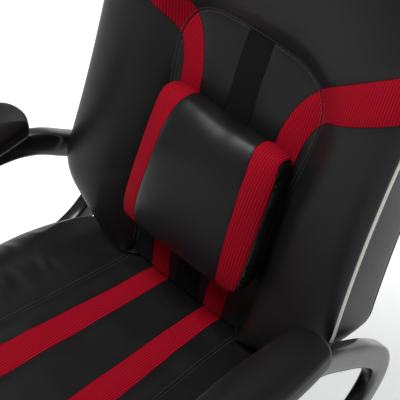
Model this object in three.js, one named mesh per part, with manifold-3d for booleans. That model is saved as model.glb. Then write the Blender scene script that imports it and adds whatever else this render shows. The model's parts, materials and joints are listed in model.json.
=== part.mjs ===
// A swivelling gaming chair on a five-arm base with twin-wheel casters: a gas lift under
// telescoping dust covers, a tilt mechanism with a lever and a tension knob, a padded seat and a
// tall backrest in coated fabric, two loop armrests with padded tops, and a lumbar cushion.
// Millimetres, +Z up, the floor at Z = 0. The chair faces -Y, so its back is at +Y, and the
// sitter's right is at -X.
import * as THREE from "three";
import { mergeVertices } from "three/addons/utils/BufferGeometryUtils.js";
import Module from "manifold-3d";

// ---- Driving dimensions ----
const COLUMN_Y = -67.3; // the column's axis, so that the origin is under the middle of the chair
const GAP = 0.3; // clearance between neighbouring pieces

const JUNCTION = { y: 195, z: 430 }; // where the seat's top meets the backrest, from the column
const RECLINE = THREE.MathUtils.degToRad(12);
const SEAT_SLOPE = Math.tan(THREE.MathUtils.degToRad(4)); // the seat rises towards its front

const LEG_COUNT = 5;
const CASTER_RADIUS = 290; // from the column's axis to each caster's stem
const CASTER_TRAIL = 20; // from the stem's axis to the wheel axle
const CASTER_TURNS = [35, -25, 60, -50, 15]; // how each caster stands, in degrees from its leg
const WHEEL_RADIUS = 25;

const HUB = { radius: 34, bottom: 62, top: 128 };
const COLUMN = { radius: 25, wall: 1.6, bottom: 44, top: 250 };
const GAS_RADIUS = 14;
const PIVOT = { y: -60, z: 312 }; // the tilt hinge, which runs along X

const SEAT = { halfWidth: 259, front: -485, rear: 42, base: 348.3 };
const BACK = { halfWidth: 259, bottom: 3, top: 720, cushion: 60.7, bolster: 18, depth: 83 };
const PIPING_RADIUS = 3.5;
const ARM = { x: 285, width: 28, height: 40, bracketY: -40 };
const PAD = { width: 82, rear: -72, length: 262, thickness: 48 };
const LUMBAR = { width: 240, height: 228, middle: 210, thickness: 76 };

// ---- Materials ----
const finish = (color, roughness, metalness = 0) =>
  new THREE.MeshStandardMaterial({ color, roughness, metalness });
const LEATHER = finish(0x19191b, 0.45);
const WHITE_TRIM = finish(0xdfe0dc, 0.5);
const NYLON = finish(0x141416, 0.55);
const GLOSS_PLASTIC = finish(0x0e0f11, 0.25);
const BLACK_STEEL = finish(0x1d1e20, 0.4, 0.6);
const BRIGHT_STEEL = finish(0xb8babd, 0.25, 1);
const PLYWOOD = finish(0xb48a5a, 0.8);
const DUST_CLOTH = finish(0x101012, 0.95);

const wasm = await Module();
wasm.setup();

// ---- Solids: closed meshes, joined and cut ----
function toSolid(geometry) {
  const bare = geometry.clone();
  bare.deleteAttribute("normal");
  bare.deleteAttribute("uv");
  const merged = mergeVertices(bare, 1e-3);
  return new wasm.Manifold(
    new wasm.Mesh({
      numProp: 3,
      vertProperties: merged.attributes.position.array,
      triVerts: new Uint32Array(merged.index.array),
    }),
  );
}

function toGeometry(solid) {
  const mesh = solid.getMesh();
  const geometry = new THREE.BufferGeometry();
  geometry.setAttribute("position", new THREE.BufferAttribute(mesh.vertProperties, 3));
  geometry.setIndex(new THREE.BufferAttribute(mesh.triVerts, 1));
  geometry.computeVertexNormals();
  return geometry;
}

const join = (...geometries) => toGeometry(geometries.map(toSolid).reduce((a, b) => a.add(b)));
const cut = (geometry, ...tools) =>
  toGeometry(tools.reduce((solid, tool) => solid.subtract(toSolid(tool)), toSolid(geometry)));

// A box from its lowest to its highest corner.
function block([x0, y0, z0], [x1, y1, z1]) {
  const geometry = new THREE.BoxGeometry(x1 - x0, y1 - y0, z1 - z0);
  return geometry.translate((x0 + x1) / 2, (y0 + y1) / 2, (z0 + z1) / 2);
}

// A turned solid about Z. The profile's points are [radius, height], counter-clockwise, and
// start and end on the axis or close on themselves.
function turned(profile, segments = 24) {
  const points = profile.map(([radius, height]) => new THREE.Vector2(radius, height));
  return new THREE.LatheGeometry(points, segments).rotateX(Math.PI / 2);
}

const disc = (radius, bottom, top, segments = 24) =>
  turned([[0, bottom], [radius, bottom], [radius, top], [0, top]], segments);
const ring = (inner, outer, bottom, top, segments = 24) =>
  turned([[inner, bottom], [outer, bottom], [outer, top], [inner, top], [inner, bottom]], segments);

// A round bar along X.
const barX = (radius, x0, x1, y, z, segments = 16) =>
  disc(radius, x0, x1, segments).rotateY(Math.PI / 2).translate(0, y, z);

function outline(points) {
  return new THREE.Shape(points.map(([x, y]) => new THREE.Vector2(x, y)));
}

// A flat shape made thick along +Z from 0, with its edges rounded to a radius.
function slab(shape, thickness, radius = 0, curveSegments = 8, bevelSegments = 2) {
  return new THREE.ExtrudeGeometry(shape, {
    depth: thickness - 2 * radius,
    bevelEnabled: radius > 0,
    bevelThickness: radius,
    bevelSize: radius,
    bevelOffset: -radius,
    bevelSegments,
    curveSegments,
  }).translate(0, 0, radius);
}

// A shape drawn in Y and Z, made thick along X between x0 and x1.
function sideSlab(shape, x0, x1, radius = 0, bevelSegments = 1) {
  const geometry = slab(shape, x1 - x0, radius, 6, bevelSegments);
  return geometry.rotateY(Math.PI / 2).rotateX(Math.PI / 2).translate(x0, 0, 0);
}

function roundedRectangle(width, height, radius) {
  const [w, h] = [width / 2, height / 2];
  const shape = new THREE.Shape();
  shape.absarc(w - radius, h - radius, radius, 0, Math.PI / 2);
  shape.absarc(radius - w, h - radius, radius, Math.PI / 2, Math.PI);
  shape.absarc(radius - w, radius - h, radius, Math.PI, 1.5 * Math.PI);
  shape.absarc(w - radius, radius - h, radius, 1.5 * Math.PI, 2 * Math.PI);
  return shape;
}

const chair = new THREE.Group();
chair.position.y = COLUMN_Y;

function add(name, geometry, material, parent = chair) {
  const mesh = new THREE.Mesh(geometry, material);
  mesh.name = name;
  parent.add(mesh);
  return mesh;
}

// ---- Five-arm base ----
function starBase() {
  const legProfile = new THREE.Shape();
  legProfile.moveTo(20, 82);
  legProfile.lineTo(20, 122);
  legProfile.quadraticCurveTo(170, 122, 300, 88);
  legProfile.quadraticCurveTo(312, 84, 312, 74);
  legProfile.lineTo(312, 58);
  legProfile.lineTo(262, 58);
  legProfile.quadraticCurveTo(150, 82, 20, 82);
  const pocketProfile = outline([[48, 60], [48, 112], [250, 88], [250, 50]]);
  // A leg is 52 mm wide at the hub and narrows towards its caster.
  const narrowed = (geometry) => {
    const position = geometry.attributes.position;
    for (let i = 0; i < position.count; i++) {
      position.setY(i, position.getY(i) * (1 - (0.3 * position.getX(i)) / CASTER_RADIUS));
    }
    return geometry;
  };
  const leg = narrowed(slab(legProfile, 52, 6, 5, 1).rotateX(Math.PI / 2).translate(0, 26, 0));
  const pocket = narrowed(slab(pocketProfile, 38).rotateX(Math.PI / 2).translate(0, 19, 0));
  const rib = block([44, -1.5, 75], [256, 1.5, 92]);
  const boss = disc(16, 58, 84, 16).translate(CASTER_RADIUS, 0, 0);
  const socket = disc(5.8, 50, 84.6, 12).translate(CASTER_RADIUS, 0, 0);
  const hub = disc(HUB.radius, HUB.bottom, HUB.top, 32);
  let solid = toSolid(hub);
  const turns = Array.from({ length: LEG_COUNT }, (_, i) => legAngle(i));
  for (const angle of turns) {
    const oneLeg = toSolid(leg.clone().rotateZ(angle))
      .subtract(toSolid(pocket.clone().rotateZ(angle)))
      .add(toSolid(rib.clone().rotateZ(angle)))
      .add(toSolid(boss.clone().rotateZ(angle)))
      .subtract(toSolid(socket.clone().rotateZ(angle)));
    solid = solid.add(oneLeg);
  }
  return toGeometry(solid.subtract(toSolid(disc(COLUMN.radius + GAP, 40, 140, 32))));
}

// One leg points straight back.
function legAngle(i) {
  return Math.PI / 2 + (i * 2 * Math.PI) / LEG_COUNT;
}

add("star_base", starBase(), NYLON);

// ---- Casters: stem, hood, axle and two wheels each ----
function casterHood() {
  // A round bar across the wheels, centred on the axle.
  const across = (radius, halfWidth, segments = 20) =>
    disc(radius, -halfWidth, halfWidth, segments)
      .rotateX(Math.PI / 2)
      .translate(CASTER_TRAIL, 0, WHEEL_RADIUS);
  const wheelSpace = across(WHEEL_RADIUS + 1.6, 30);
  const shell = cut(
    across(WHEEL_RADIUS + 4.6, 25),
    wheelSpace,
    block([-20, -40, -20], [60, 40, 17]),
    block([CASTER_TRAIL + 14, -40, -20], [60, 40, 36]),
  );
  const boss = cut(disc(10, 30, 56, 16), wheelSpace);
  const web = cut(across(WHEEL_RADIUS + 2.5, 3.5), block([-20, -40, -20], [60, 40, 12]));
  return cut(join(shell, boss, web), disc(5.8, 38, 60, 12), across(3.3, 30, 12));
}

function casterWheel(side) {
  const [inner, outer] = [4.3, 21.5];
  const profile = [
    [3.3, inner], [23, inner], [WHEEL_RADIUS, inner + 3], [WHEEL_RADIUS, outer - 4],
    [22, outer], [17, outer], [15, outer - 3], [3.3, outer - 3], [3.3, inner],
  ];
  const wheel = turned(profile, 20).rotateX((side * Math.PI) / 2);
  return wheel.translate(CASTER_TRAIL, 0, WHEEL_RADIUS);
}

for (let i = 0; i < LEG_COUNT; i++) {
  const caster = new THREE.Group();
  caster.position.set(
    CASTER_RADIUS * Math.cos(legAngle(i)),
    CASTER_RADIUS * Math.sin(legAngle(i)),
    0,
  );
  caster.rotation.z = legAngle(i) + THREE.MathUtils.degToRad(CASTER_TURNS[i]);
  chair.add(caster);
  const number = i + 1;
  const stem = turned([[0, 48.5], [5.5, 48.5], [5.5, 82], [3.5, 84], [0, 84]], 12);
  const axle = disc(3, -20, 20, 10).rotateX(Math.PI / 2).translate(CASTER_TRAIL, 0, WHEEL_RADIUS);
  add(`caster_stem_${number}`, stem, BRIGHT_STEEL, caster);
  add(`caster_hood_${number}`, casterHood(), GLOSS_PLASTIC, caster);
  add(`caster_axle_${number}`, axle, BRIGHT_STEEL, caster);
  add(`caster_wheel_${number}_left`, casterWheel(1), NYLON, caster);
  add(`caster_wheel_${number}_right`, casterWheel(-1), NYLON, caster);
}

// ---- Gas lift: fixed column, rod on its thrust bearing, and the sliding gas spring ----
function columnTube() {
  const { radius, wall, bottom, top } = COLUMN;
  const inner = radius - wall;
  const profile = [
    [6, bottom], [radius, bottom], [radius, top], [inner, top], [inner, bottom + 3],
    [6, bottom + 3], [6, bottom],
  ];
  return turned(profile, 32);
}

function gasSpring() {
  const boreTop = 235;
  const profile = [
    [0, boreTop], [5.6, boreTop], [5.6, 72], [GAS_RADIUS, 72], [GAS_RADIUS, 262],
    [GAS_RADIUS - 0.8, 305], [4, 305], [4, 311], [0, 311],
  ];
  return turned(profile);
}

const bearingSeat = COLUMN.bottom + 3 + GAP;
const rodProfile = [
  [0, 38], [5, 38], [5, bearingSeat + 6.3], [8, bearingSeat + 6.3], [8, bearingSeat + 11],
  [5, bearingSeat + 11], [5, 228], [0, 228],
];
add("column_tube", columnTube(), BLACK_STEEL);
add("column_bush", ring(GAS_RADIUS + 0.4, COLUMN.radius - COLUMN.wall - GAP, 150, 249.5), NYLON);
add("thrust_bearing", ring(5.4, 15, bearingSeat, bearingSeat + 6), BRIGHT_STEEL);
add("gas_rod", turned(rodProfile, 16), BRIGHT_STEEL);
add("rod_clip", ring(5.3, 10, COLUMN.bottom - 4, COLUMN.bottom - GAP, 16), BLACK_STEEL);
add("gas_spring", gasSpring(), BRIGHT_STEEL);

// ---- Telescoping dust covers, which nest when the chair is at its lowest ----
const COVERS = [
  { name: "dust_cover_lower", inner: 33, bottom: 130.5, height: 83 },
  { name: "dust_cover_middle", inner: 30, bottom: 152, height: 82 },
];
for (const { name, inner, bottom, height } of COVERS) {
  add(name, ring(inner, inner + 1.5, bottom, bottom + height, 32), GLOSS_PLASTIC);
}
const upperCover = [
  [27, 174], [28.5, 174], [28.5, 259], [14.8, 259], [14.8, 257], [27, 257], [27, 174],
];
add("dust_cover_upper", turned(upperCover, 32), GLOSS_PLASTIC);

// ---- Tilt mechanism ----
const HOUSING = { halfWidth: 44, bottom: 262, top: 326, wall: 4 };
const KNOB_Y = -118;
const LEVER = { y: 22, z: 278 };

function tiltHousing() {
  const { halfWidth, bottom, top, wall } = HOUSING;
  const side = outline([
    [-145, bottom + 10], [-135, bottom], [85, bottom], [85, bottom + 22], [-50, top], [-145, top],
  ]);
  const pocket = block(
    [wall - halfWidth, -141, bottom + wall],
    [halfWidth - wall, 81, top + 10],
  );
  const shell = cut(sideSlab(side, -halfWidth, halfWidth), pocket);
  const socket = disc(19, bottom, 303);
  const nose = disc(12, bottom, bottom + 14, 16).translate(0, KNOB_Y, 0);
  return cut(
    join(shell, socket, nose),
    disc(GAS_RADIUS + GAP, bottom - 5, 320),
    disc(5.6, bottom - 5, 300, 12).translate(0, KNOB_Y, 0),
    barX(5.3, -60, 60, PIVOT.y, PIVOT.z),
    barX(7, -60, -30, LEVER.y, LEVER.z),
  );
}

function seatPlate() {
  const wings = outline([
    [-88, -150], [88, -150], [96, -110], [60, -40], [60, 30], [96, 80], [88, 100],
    [-88, 100], [-96, 80], [-60, 30], [-60, -40], [-96, -110],
  ]);
  const plate = slab(wings, 4).translate(0, 0, 330);
  const ear = outline([[-82, 331], [-82, 306], [-70, 298], [-50, 298], [-38, 306], [-38, 331]]);
  const ears = [-49.5, 46].map((x) => sideSlab(ear, x, x + 3.5));
  return cut(join(plate, ...ears), barX(5.3, -60, 60, PIVOT.y, PIVOT.z));
}

function pivotPin() {
  const shaft = barX(5, -54, 53, PIVOT.y, PIVOT.z);
  return join(shaft, barX(8, 52, 56, PIVOT.y, PIVOT.z));
}

function tensionKnob() {
  const knobProfile = [
    [0, 206], [26, 206], [31, 211], [31, 230], [27, 236], [5, 236], [5, 300], [0, 300],
  ];
  let solid = toSolid(turned(knobProfile, 30));
  const flutes = 10;
  for (let i = 0; i < flutes; i++) {
    const angle = (i * 2 * Math.PI) / flutes;
    const flute = disc(4, 200, 240, 10).translate(34 * Math.cos(angle), 34 * Math.sin(angle), 0);
    solid = solid.subtract(toSolid(flute));
  }
  return toGeometry(solid).translate(0, KNOB_Y, 0);
}

class Helix extends THREE.Curve {
  constructor(radius, bottom, top, turns) {
    super();
    Object.assign(this, { radius, bottom, top, turns });
  }
  getPoint(t, target = new THREE.Vector3()) {
    const angle = t * this.turns * 2 * Math.PI;
    const z = THREE.MathUtils.lerp(this.bottom, this.top, t);
    return target.set(this.radius * Math.cos(angle), this.radius * Math.sin(angle), z);
  }
}

function tensionSpring() {
  const wire = new THREE.Shape().absarc(0, 0, 2, 0, 2 * Math.PI);
  const path = new Helix(13, 238.8, HOUSING.bottom - 2.6, 3);
  const coil = { steps: 42, extrudePath: path, bevelEnabled: false, curveSegments: 3 };
  return new THREE.ExtrudeGeometry(wire, coil).translate(0, KNOB_Y, 0);
}

function leverBlock() {
  const { y, z } = LEVER;
  return cut(block([-38, y - 9, z - 9], [-20, y + 9, z + 9]), barX(4.3, -50, -10, y, z));
}

function leverHandle() {
  const { y, z } = LEVER;
  const paddle = slab(roundedRectangle(96, 26, 12), 10, 3, 4, 1).translate(-206, y, z - 5);
  return cut(paddle, barX(4.3, -200, -100, y, z));
}

add("tilt_housing", tiltHousing(), BLACK_STEEL);
add("pivot_pin", pivotPin(), BRIGHT_STEEL);
add("tension_spring", tensionSpring(), BRIGHT_STEEL);
add("tension_knob", tensionKnob(), NYLON);
add("lever_block", leverBlock(), BLACK_STEEL);
add("lever_rod", barX(4, -199, -16, LEVER.y, LEVER.z), BLACK_STEEL);
add("lever_handle", leverHandle(), NYLON);
add("seat_plate", seatPlate(), BLACK_STEEL);

// ---- Seat: dust cloth, plywood board and padded cushion ----
// The plan outline, drawn from the junction, with round corners that are wider at the rear.
function seatOutline(inset) {
  const w = SEAT.halfWidth - inset;
  const [front, rear] = [SEAT.front + inset, SEAT.rear - inset];
  const shape = new THREE.Shape();
  shape.moveTo(0, front);
  shape.lineTo(w - 100, front + 6);
  shape.quadraticCurveTo(w - 8, front + 12, w - 2, front + 105);
  shape.lineTo(w, -150);
  shape.quadraticCurveTo(w, -80, w - 22, -20);
  shape.quadraticCurveTo(w - 40, rear, w - 90, rear);
  shape.lineTo(90 - w, rear);
  shape.quadraticCurveTo(40 - w, rear, 22 - w, -20);
  shape.quadraticCurveTo(-w, -80, -w, -150);
  shape.lineTo(2 - w, front + 105);
  shape.quadraticCurveTo(8 - w, front + 12, 100 - w, front + 6);
  return shape;
}

// The cushion's top leans up towards the front and its bottom stays level. Its rear passes
// under the backrest, so the backrest's space is cut from it.
function seatCushion() {
  const thickness = JUNCTION.z - SEAT.base;
  const geometry = slab(seatOutline(0), thickness, 26, 5, 3);
  const position = geometry.attributes.position;
  for (let i = 0; i < position.count; i++) {
    const rise = 1 - (SEAT_SLOPE * position.getY(i)) / thickness;
    position.setZ(i, position.getZ(i) * rise);
  }
  const space = block([-300, -24, -1.5], [300, 140, 200]).rotateX(-RECLINE);
  space.translate(0, JUNCTION.y, JUNCTION.z);
  return cut(geometry.translate(0, JUNCTION.y, SEAT.base), space);
}

add("seat_dust_cloth", slab(seatOutline(16), 1.2).translate(0, JUNCTION.y, 334.4), DUST_CLOTH);
add("seat_board", slab(seatOutline(22), 12).translate(0, JUNCTION.y, 336), PLYWOOD);
add("seat_cushion", seatCushion(), LEATHER);

// ---- Backrest, in a frame that leans back from the junction: Z runs up it and -Y out of it ----
const back = new THREE.Group();
back.position.set(0, JUNCTION.y, JUNCTION.z);
back.rotation.x = -RECLINE;
chair.add(back);

// The right half of the backrest's outline, from the middle of its foot to the middle of its top.
function backEdge(inset) {
  const w = BACK.halfWidth - inset;
  const path = new THREE.Path();
  path.moveTo(0, BACK.bottom + inset);
  path.lineTo(104, BACK.bottom + inset);
  path.quadraticCurveTo(134, BACK.bottom + inset, 168 - inset, 24);
  path.lineTo(w - 30, 62);
  path.quadraticCurveTo(w + 2, 84, w + 2, 122);
  path.quadraticCurveTo(w - 5, 230, w - 3, 330);
  path.quadraticCurveTo(w - 2, 410, w + 3, 470);
  path.quadraticCurveTo(w + 6, 545, w - 36, 600);
  path.quadraticCurveTo(w - 72, 640, w - 86, 672);
  path.quadraticCurveTo(w - 104, BACK.top - inset, w - 150, BACK.top - inset);
  path.lineTo(0, BACK.top - inset);
  return path;
}

function backOutline(inset) {
  const right = backEdge(inset).getPoints(5);
  const left = right.slice(1, -1).reverse();
  return new THREE.Shape([...right, ...left.map((p) => new THREE.Vector2(-p.x, p.y))]);
}

// A slab drawn in X and Z of the backrest's frame, from depth near to depth far behind its face.
function backSlab(shape, near, far, radius, bevelSegments) {
  const geometry = slab(shape, far - near, radius, 6, bevelSegments);
  return geometry.rotateX(Math.PI / 2).translate(0, far, 0);
}

// The cushion's side bolsters stand proud of its middle, over the height of the torso.
function backCushion() {
  const panel = backSlab(backOutline(0), 0, BACK.cushion, 9, 1);
  const rim = backSlab(backOutline(0), -BACK.bolster, BACK.cushion - 5, 11, 2);
  const hollow = new THREE.Shape();
  hollow.moveTo(-118, -60);
  hollow.lineTo(118, -60);
  hollow.quadraticCurveTo(150, 240, 134, 400);
  hollow.quadraticCurveTo(126, 470, 60, 480);
  hollow.lineTo(-60, 480);
  hollow.quadraticCurveTo(-126, 470, -134, 400);
  hollow.quadraticCurveTo(-150, 240, -118, -60);
  return join(panel, cut(rim, backSlab(hollow, -60, 30, 0)));
}

function backPiping() {
  const right = backEdge(0).getSpacedPoints(44).slice(9);
  const points = right.map((p) => new THREE.Vector3(p.x, 0.6 - BACK.bolster, p.y));
  const mirrored = points.slice(0, -1).reverse().map((p) => new THREE.Vector3(-p.x, p.y, p.z));
  const path = new THREE.CatmullRomCurve3([...points, ...mirrored]);
  const section = new THREE.Shape().absarc(0, 0, PIPING_RADIUS, 0, 2 * Math.PI);
  const cord = { steps: 72, extrudePath: path, bevelEnabled: false, curveSegments: 3 };
  return new THREE.ExtrudeGeometry(section, cord);
}

add("back_cushion", backCushion(), LEATHER, back);
add("back_piping", backPiping(), WHITE_TRIM, back);
add("back_board", backSlab(backOutline(14), 61, 73, 0), PLYWOOD, back);
add("back_rear_panel", backSlab(backOutline(2), 73.3, BACK.depth, 4, 1), LEATHER, back);

// ---- Steel bracket from the seat's underside up the backrest's rear, and its plastic cover ----
// Drawn in Y and Z from the column; the upright follows the backrest's lean.
function backBracket() {
  const along = new THREE.Vector2(Math.sin(RECLINE), Math.cos(RECLINE));
  const out = new THREE.Vector2(Math.cos(RECLINE), -Math.sin(RECLINE));
  const at = (depth, height) =>
    new THREE.Vector2(JUNCTION.y, JUNCTION.z).addScaledVector(out, depth).addScaledVector(along, height);
  const thick = 6;
  const floor = 328;
  const [inner, outer] = [BACK.depth + 0.6, BACK.depth + 0.6 + thick];
  const shape = new THREE.Shape();
  const foot = at(inner, -62);
  const heel = at(outer, -62);
  shape.moveTo(108, floor);
  shape.lineTo(foot.x - 24, floor);
  shape.quadraticCurveTo(heel.x - 6, floor, heel.x, heel.y);
  for (const point of [at(outer, 190), at(inner, 190), foot]) {
    shape.lineTo(point.x, point.y);
  }
  shape.quadraticCurveTo(foot.x - 6, floor + thick, foot.x - 30, floor + thick);
  shape.lineTo(108, floor + thick);
  return sideSlab(shape, -30, 30);
}

const coverShape = roundedRectangle(92, 250, 18);
const bracketCover = slab(coverShape, 14, 5, 4, 2).rotateX(Math.PI / 2);
bracketCover.translate(0, BACK.depth + 21, 78);
add("back_bracket", backBracket(), BLACK_STEEL);
add("back_bracket_cover", bracketCover, GLOSS_PLASTIC, back);

// ---- Armrests: a moulded loop, a padded top and a steel bracket under the seat ----
// The middle line of a loop, in Y and Z from the junction.
const LOOP_LINE = [
  [-300, -112], [-190, -112], [-70, -112], [20, -102], [76, -72], [108, -22], [102, 24],
  [58, 68], [5, 104], [-45, 134], [-100, 152], [-180, 160], [-270, 156], [-330, 128],
  [-358, 66], [-360, -10], [-346, -78],
];

function armLoop() {
  const line = new THREE.CatmullRomCurve3(
    LOOP_LINE.map(([y, z]) => new THREE.Vector3(y, z, 0)),
    true,
    "centripetal",
  );
  const steps = 56;
  const offset = (distance) =>
    Array.from({ length: steps }, (_, i) => {
      const point = line.getPointAt(i / steps);
      const tangent = line.getTangentAt(i / steps);
      return new THREE.Vector2(point.x + tangent.y * distance, point.y - tangent.x * distance);
    });
  const shape = new THREE.Shape(offset(ARM.height / 2));
  shape.holes.push(new THREE.Path(offset(-ARM.height / 2)));
  return sideSlab(shape, -ARM.width / 2, ARM.width / 2, 7, 1);
}

function armPad() {
  const plan = roundedRectangle(PAD.width, PAD.length, 38);
  return slab(plan, PAD.thickness, 17, 5, 3);
}

// An angle under the seat's edge: the flat leg bolts to the seat, the upright one to the loop.
function armBracket(side) {
  const angle = outline([[186, 328.6], [270.6, 328.6], [270.6, 300], [266, 300], [266, 323.6], [186, 323.6]]);
  const geometry = slab(angle, 80).rotateX(Math.PI / 2).translate(0, 40, 5);
  return side < 0 ? geometry.rotateZ(Math.PI) : geometry;
}

for (const [side, name] of [[1, "left"], [-1, "right"]]) {
  const arm = new THREE.Group();
  arm.position.set(side * ARM.x, JUNCTION.y, JUNCTION.z);
  chair.add(arm);
  add(`arm_loop_${name}`, armLoop(), GLOSS_PLASTIC, arm);
  const pad = add(`arm_pad_${name}`, armPad(), LEATHER, arm);
  pad.position.set(side * 3, PAD.rear - PAD.length / 2, 181);
  const bracket = add(`arm_bracket_${name}`, armBracket(side), BLACK_STEEL);
  bracket.position.y = ARM.bracketY;
}

// ---- Lumbar cushion, held on the backrest by a hook-and-loop patch ----
const loopPatch = slab(roundedRectangle(150, 70, 6), 1, 0, 2).rotateX(Math.PI / 2);
loopPatch.translate(0, -GAP, LUMBAR.middle);
add("lumbar_loop_patch", loopPatch, DUST_CLOTH, back);
const lumbar = slab(roundedRectangle(LUMBAR.width, LUMBAR.height, 30), LUMBAR.thickness, 24, 4, 3);
add("lumbar_cushion", lumbar.rotateX(Math.PI / 2).translate(0, -1.7, LUMBAR.middle), LEATHER, back);

export default chair;
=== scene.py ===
# A swivelling gaming chair: padded seat and tall backrest in black coated fabric with red mesh
# strips and white piping, a loose lumbar cushion, two loop armrests, and a castered base.
import json
import math

import bmesh
import bpy
import numpy as np
from mathutils import Matrix, Quaternion, Vector, noise


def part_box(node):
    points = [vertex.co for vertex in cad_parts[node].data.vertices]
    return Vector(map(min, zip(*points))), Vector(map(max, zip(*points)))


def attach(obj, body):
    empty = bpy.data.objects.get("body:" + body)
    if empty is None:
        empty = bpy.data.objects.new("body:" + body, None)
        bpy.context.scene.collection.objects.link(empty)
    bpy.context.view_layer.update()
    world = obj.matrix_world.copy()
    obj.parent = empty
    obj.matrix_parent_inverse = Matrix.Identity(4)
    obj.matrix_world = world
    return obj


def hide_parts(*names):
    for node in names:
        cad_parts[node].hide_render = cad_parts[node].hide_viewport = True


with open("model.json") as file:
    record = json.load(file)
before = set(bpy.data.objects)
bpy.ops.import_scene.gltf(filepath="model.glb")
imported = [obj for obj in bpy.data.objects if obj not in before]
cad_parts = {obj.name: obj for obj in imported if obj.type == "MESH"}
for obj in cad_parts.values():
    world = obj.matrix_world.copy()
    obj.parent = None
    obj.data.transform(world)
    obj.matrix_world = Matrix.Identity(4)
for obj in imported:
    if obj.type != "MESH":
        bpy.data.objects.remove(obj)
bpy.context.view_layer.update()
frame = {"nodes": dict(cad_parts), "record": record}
MM = 0.001

# ---- Room ----
# A pale floor that runs to a pale surround, and large soft lamps: a key lamp high on the
# sitter's left, a weaker one on the right, and one behind that lifts the edges.
SEAT_TAIL = 42  # how far the seat runs back under the backrest
SEAT_DEPTH = 81.7  # from the junction of seat and backrest down to the seat cushion's base
seat_low, seat_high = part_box("seat_cushion")
JUNCTION = Vector((0, seat_high.y - SEAT_TAIL * MM, seat_low.z + SEAT_DEPTH * MM))


def linked(name, data):
    """A new object that holds the data, put in the scene."""
    thing = bpy.data.objects.new(name, data)
    bpy.context.collection.objects.link(thing)
    return thing


def piece_of(name, points, faces):
    mesh = bpy.data.meshes.new(name)
    mesh.from_pydata(points, [], faces)
    return linked(name, mesh)


def new_material(name):
    material = bpy.data.materials.new(name)
    material.use_nodes = True
    return material, material.node_tree.nodes["Principled BSDF"]


def floor():
    reach = 30
    corners = [(-reach, -reach, 0), (reach, -reach, 0), (reach, reach, 0), (-reach, reach, 0)]
    plane = piece_of("floor", corners, [(0, 1, 2, 3)])
    material, shader = new_material("pale floor")
    for key, value in {
        "Base Color": (0.93, 0.93, 0.93, 1), "Roughness": 0.9, "Specular IOR Level": 0.1,
        "Emission Color": (1, 1, 1, 1), "Emission Strength": 0.4,
    }.items():
        shader.inputs[key].default_value = value
    plane.data.materials.append(material)


def lamp(name, place, size, power):
    light = bpy.data.lights.new(name, "AREA")
    light.shape = "DISK"
    light.size = size
    light.energy = power
    lamp_object = linked(name, light)
    lamp_object.location = JUNCTION + Vector(place)
    lamp_object.rotation_euler = (-Vector(place)).to_track_quat("-Z", "Y").to_euler()


floor()
lamp("key", (-0.5, -0.9, 2.8), 1.5, 88)
lamp("side", (2.4, 0.4, 1.6), 1.4, 8)
lamp("rear", (-1.2, 2.4, 2.0), 1.8, 16)
world = bpy.data.worlds.new("studio")
world.use_nodes = True
sky = world.node_tree.nodes["Background"]
sky.inputs["Color"].default_value = (0.95, 0.97, 1, 1)
seen = world.node_tree.nodes.new("ShaderNodeLightPath")
brightness = world.node_tree.nodes.new("ShaderNodeMapRange")
brightness.inputs["To Min"].default_value = 0.26
brightness.inputs["To Max"].default_value = 1.1
world.node_tree.links.new(seen.outputs["Is Camera Ray"], brightness.inputs["Value"])
world.node_tree.links.new(brightness.outputs["Result"], sky.inputs["Strength"])
bpy.context.scene.world = world
bpy.context.scene.view_settings.view_transform = "Standard"

# ---- Camera ----
# Close in and high on the sitter's left, with a long lens and a slight roll.
CAMERA_PLACE = Vector((0.87585, -1.11484, 1.52894))
CAMERA_AIM = Vector((-0.44748, 0.57409, -0.68570))
CAMERA_ROLL = math.radians(-8.13)
camera_data = bpy.data.cameras.new("camera")
camera_data.lens = 124.6
camera_data.sensor_width = 36
camera_data.clip_end = 100
camera = linked("camera", camera_data)
camera.location = JUNCTION + CAMERA_PLACE
camera.rotation_mode = "QUATERNION"
turn = CAMERA_AIM.to_track_quat("-Z", "Y") @ Quaternion((0, 0, 1), -CAMERA_ROLL)
camera.rotation_quaternion = turn
bpy.context.scene.camera = camera

# ---- Backrest: cushion cover ----
# Moulded foam under a sewn cover of black coated fabric. An arched centre panel sits between
# raised bolsters, with a matte mesh strip up its middle and two red spacer-mesh strips that
# rise from the seat and sweep outwards over the bolsters. A deep gusset runs round the edge.
RECLINE = math.radians(12)
BACK_ALONG = Vector((0, math.sin(RECLINE), math.cos(RECLINE)))
BACK_OUT = Vector((0, -math.cos(RECLINE), math.sin(RECLINE)))
BOLSTER = 18
CUSHION_DEPTH = 72.4


def on_back(across, along, out):
    """World places of points given in millimetres across, up and out of the backrest."""
    place = np.stack([across, 0 * across, 0 * across], -1)
    place += np.multiply.outer(along, np.array(BACK_ALONG))
    place += np.multiply.outer(out, np.array(BACK_OUT))
    return place * MM + np.array(JUNCTION)


def curve_points(start, *segments, steps=14):
    """Points along straight (x, y) and quadratic (cx, cy, x, y) segments."""
    points = [np.array(start, float)]
    for segment in segments:
        begin, end = points[-1], np.array(segment[-2:], float)
        if len(segment) == 2:
            points.append(end)
            continue
        bend = np.array(segment[:2], float)
        for t in np.linspace(0, 1, steps + 1)[1:]:
            points.append((1 - t) ** 2 * begin + 2 * t * (1 - t) * bend + t * t * end)
    return np.array(points)


def smooth_through(points, steps=12):
    """A Catmull-Rom curve through rows of numbers."""
    rows = np.array(points, float)
    rows = np.vstack([2 * rows[0] - rows[1], rows, 2 * rows[-1] - rows[-2]])
    out = []
    for a, b, c, d in zip(rows, rows[1:], rows[2:], rows[3:]):
        for t in np.linspace(0, 1, steps, endpoint=False):
            out.append(
                0.5 * (2 * b + (c - a) * t + (2 * a - 5 * b + 4 * c - d) * t**2
                       + (3 * b - a - 3 * c + d) * t**3)
            )
    return np.array(out + [rows[-2]])


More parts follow.
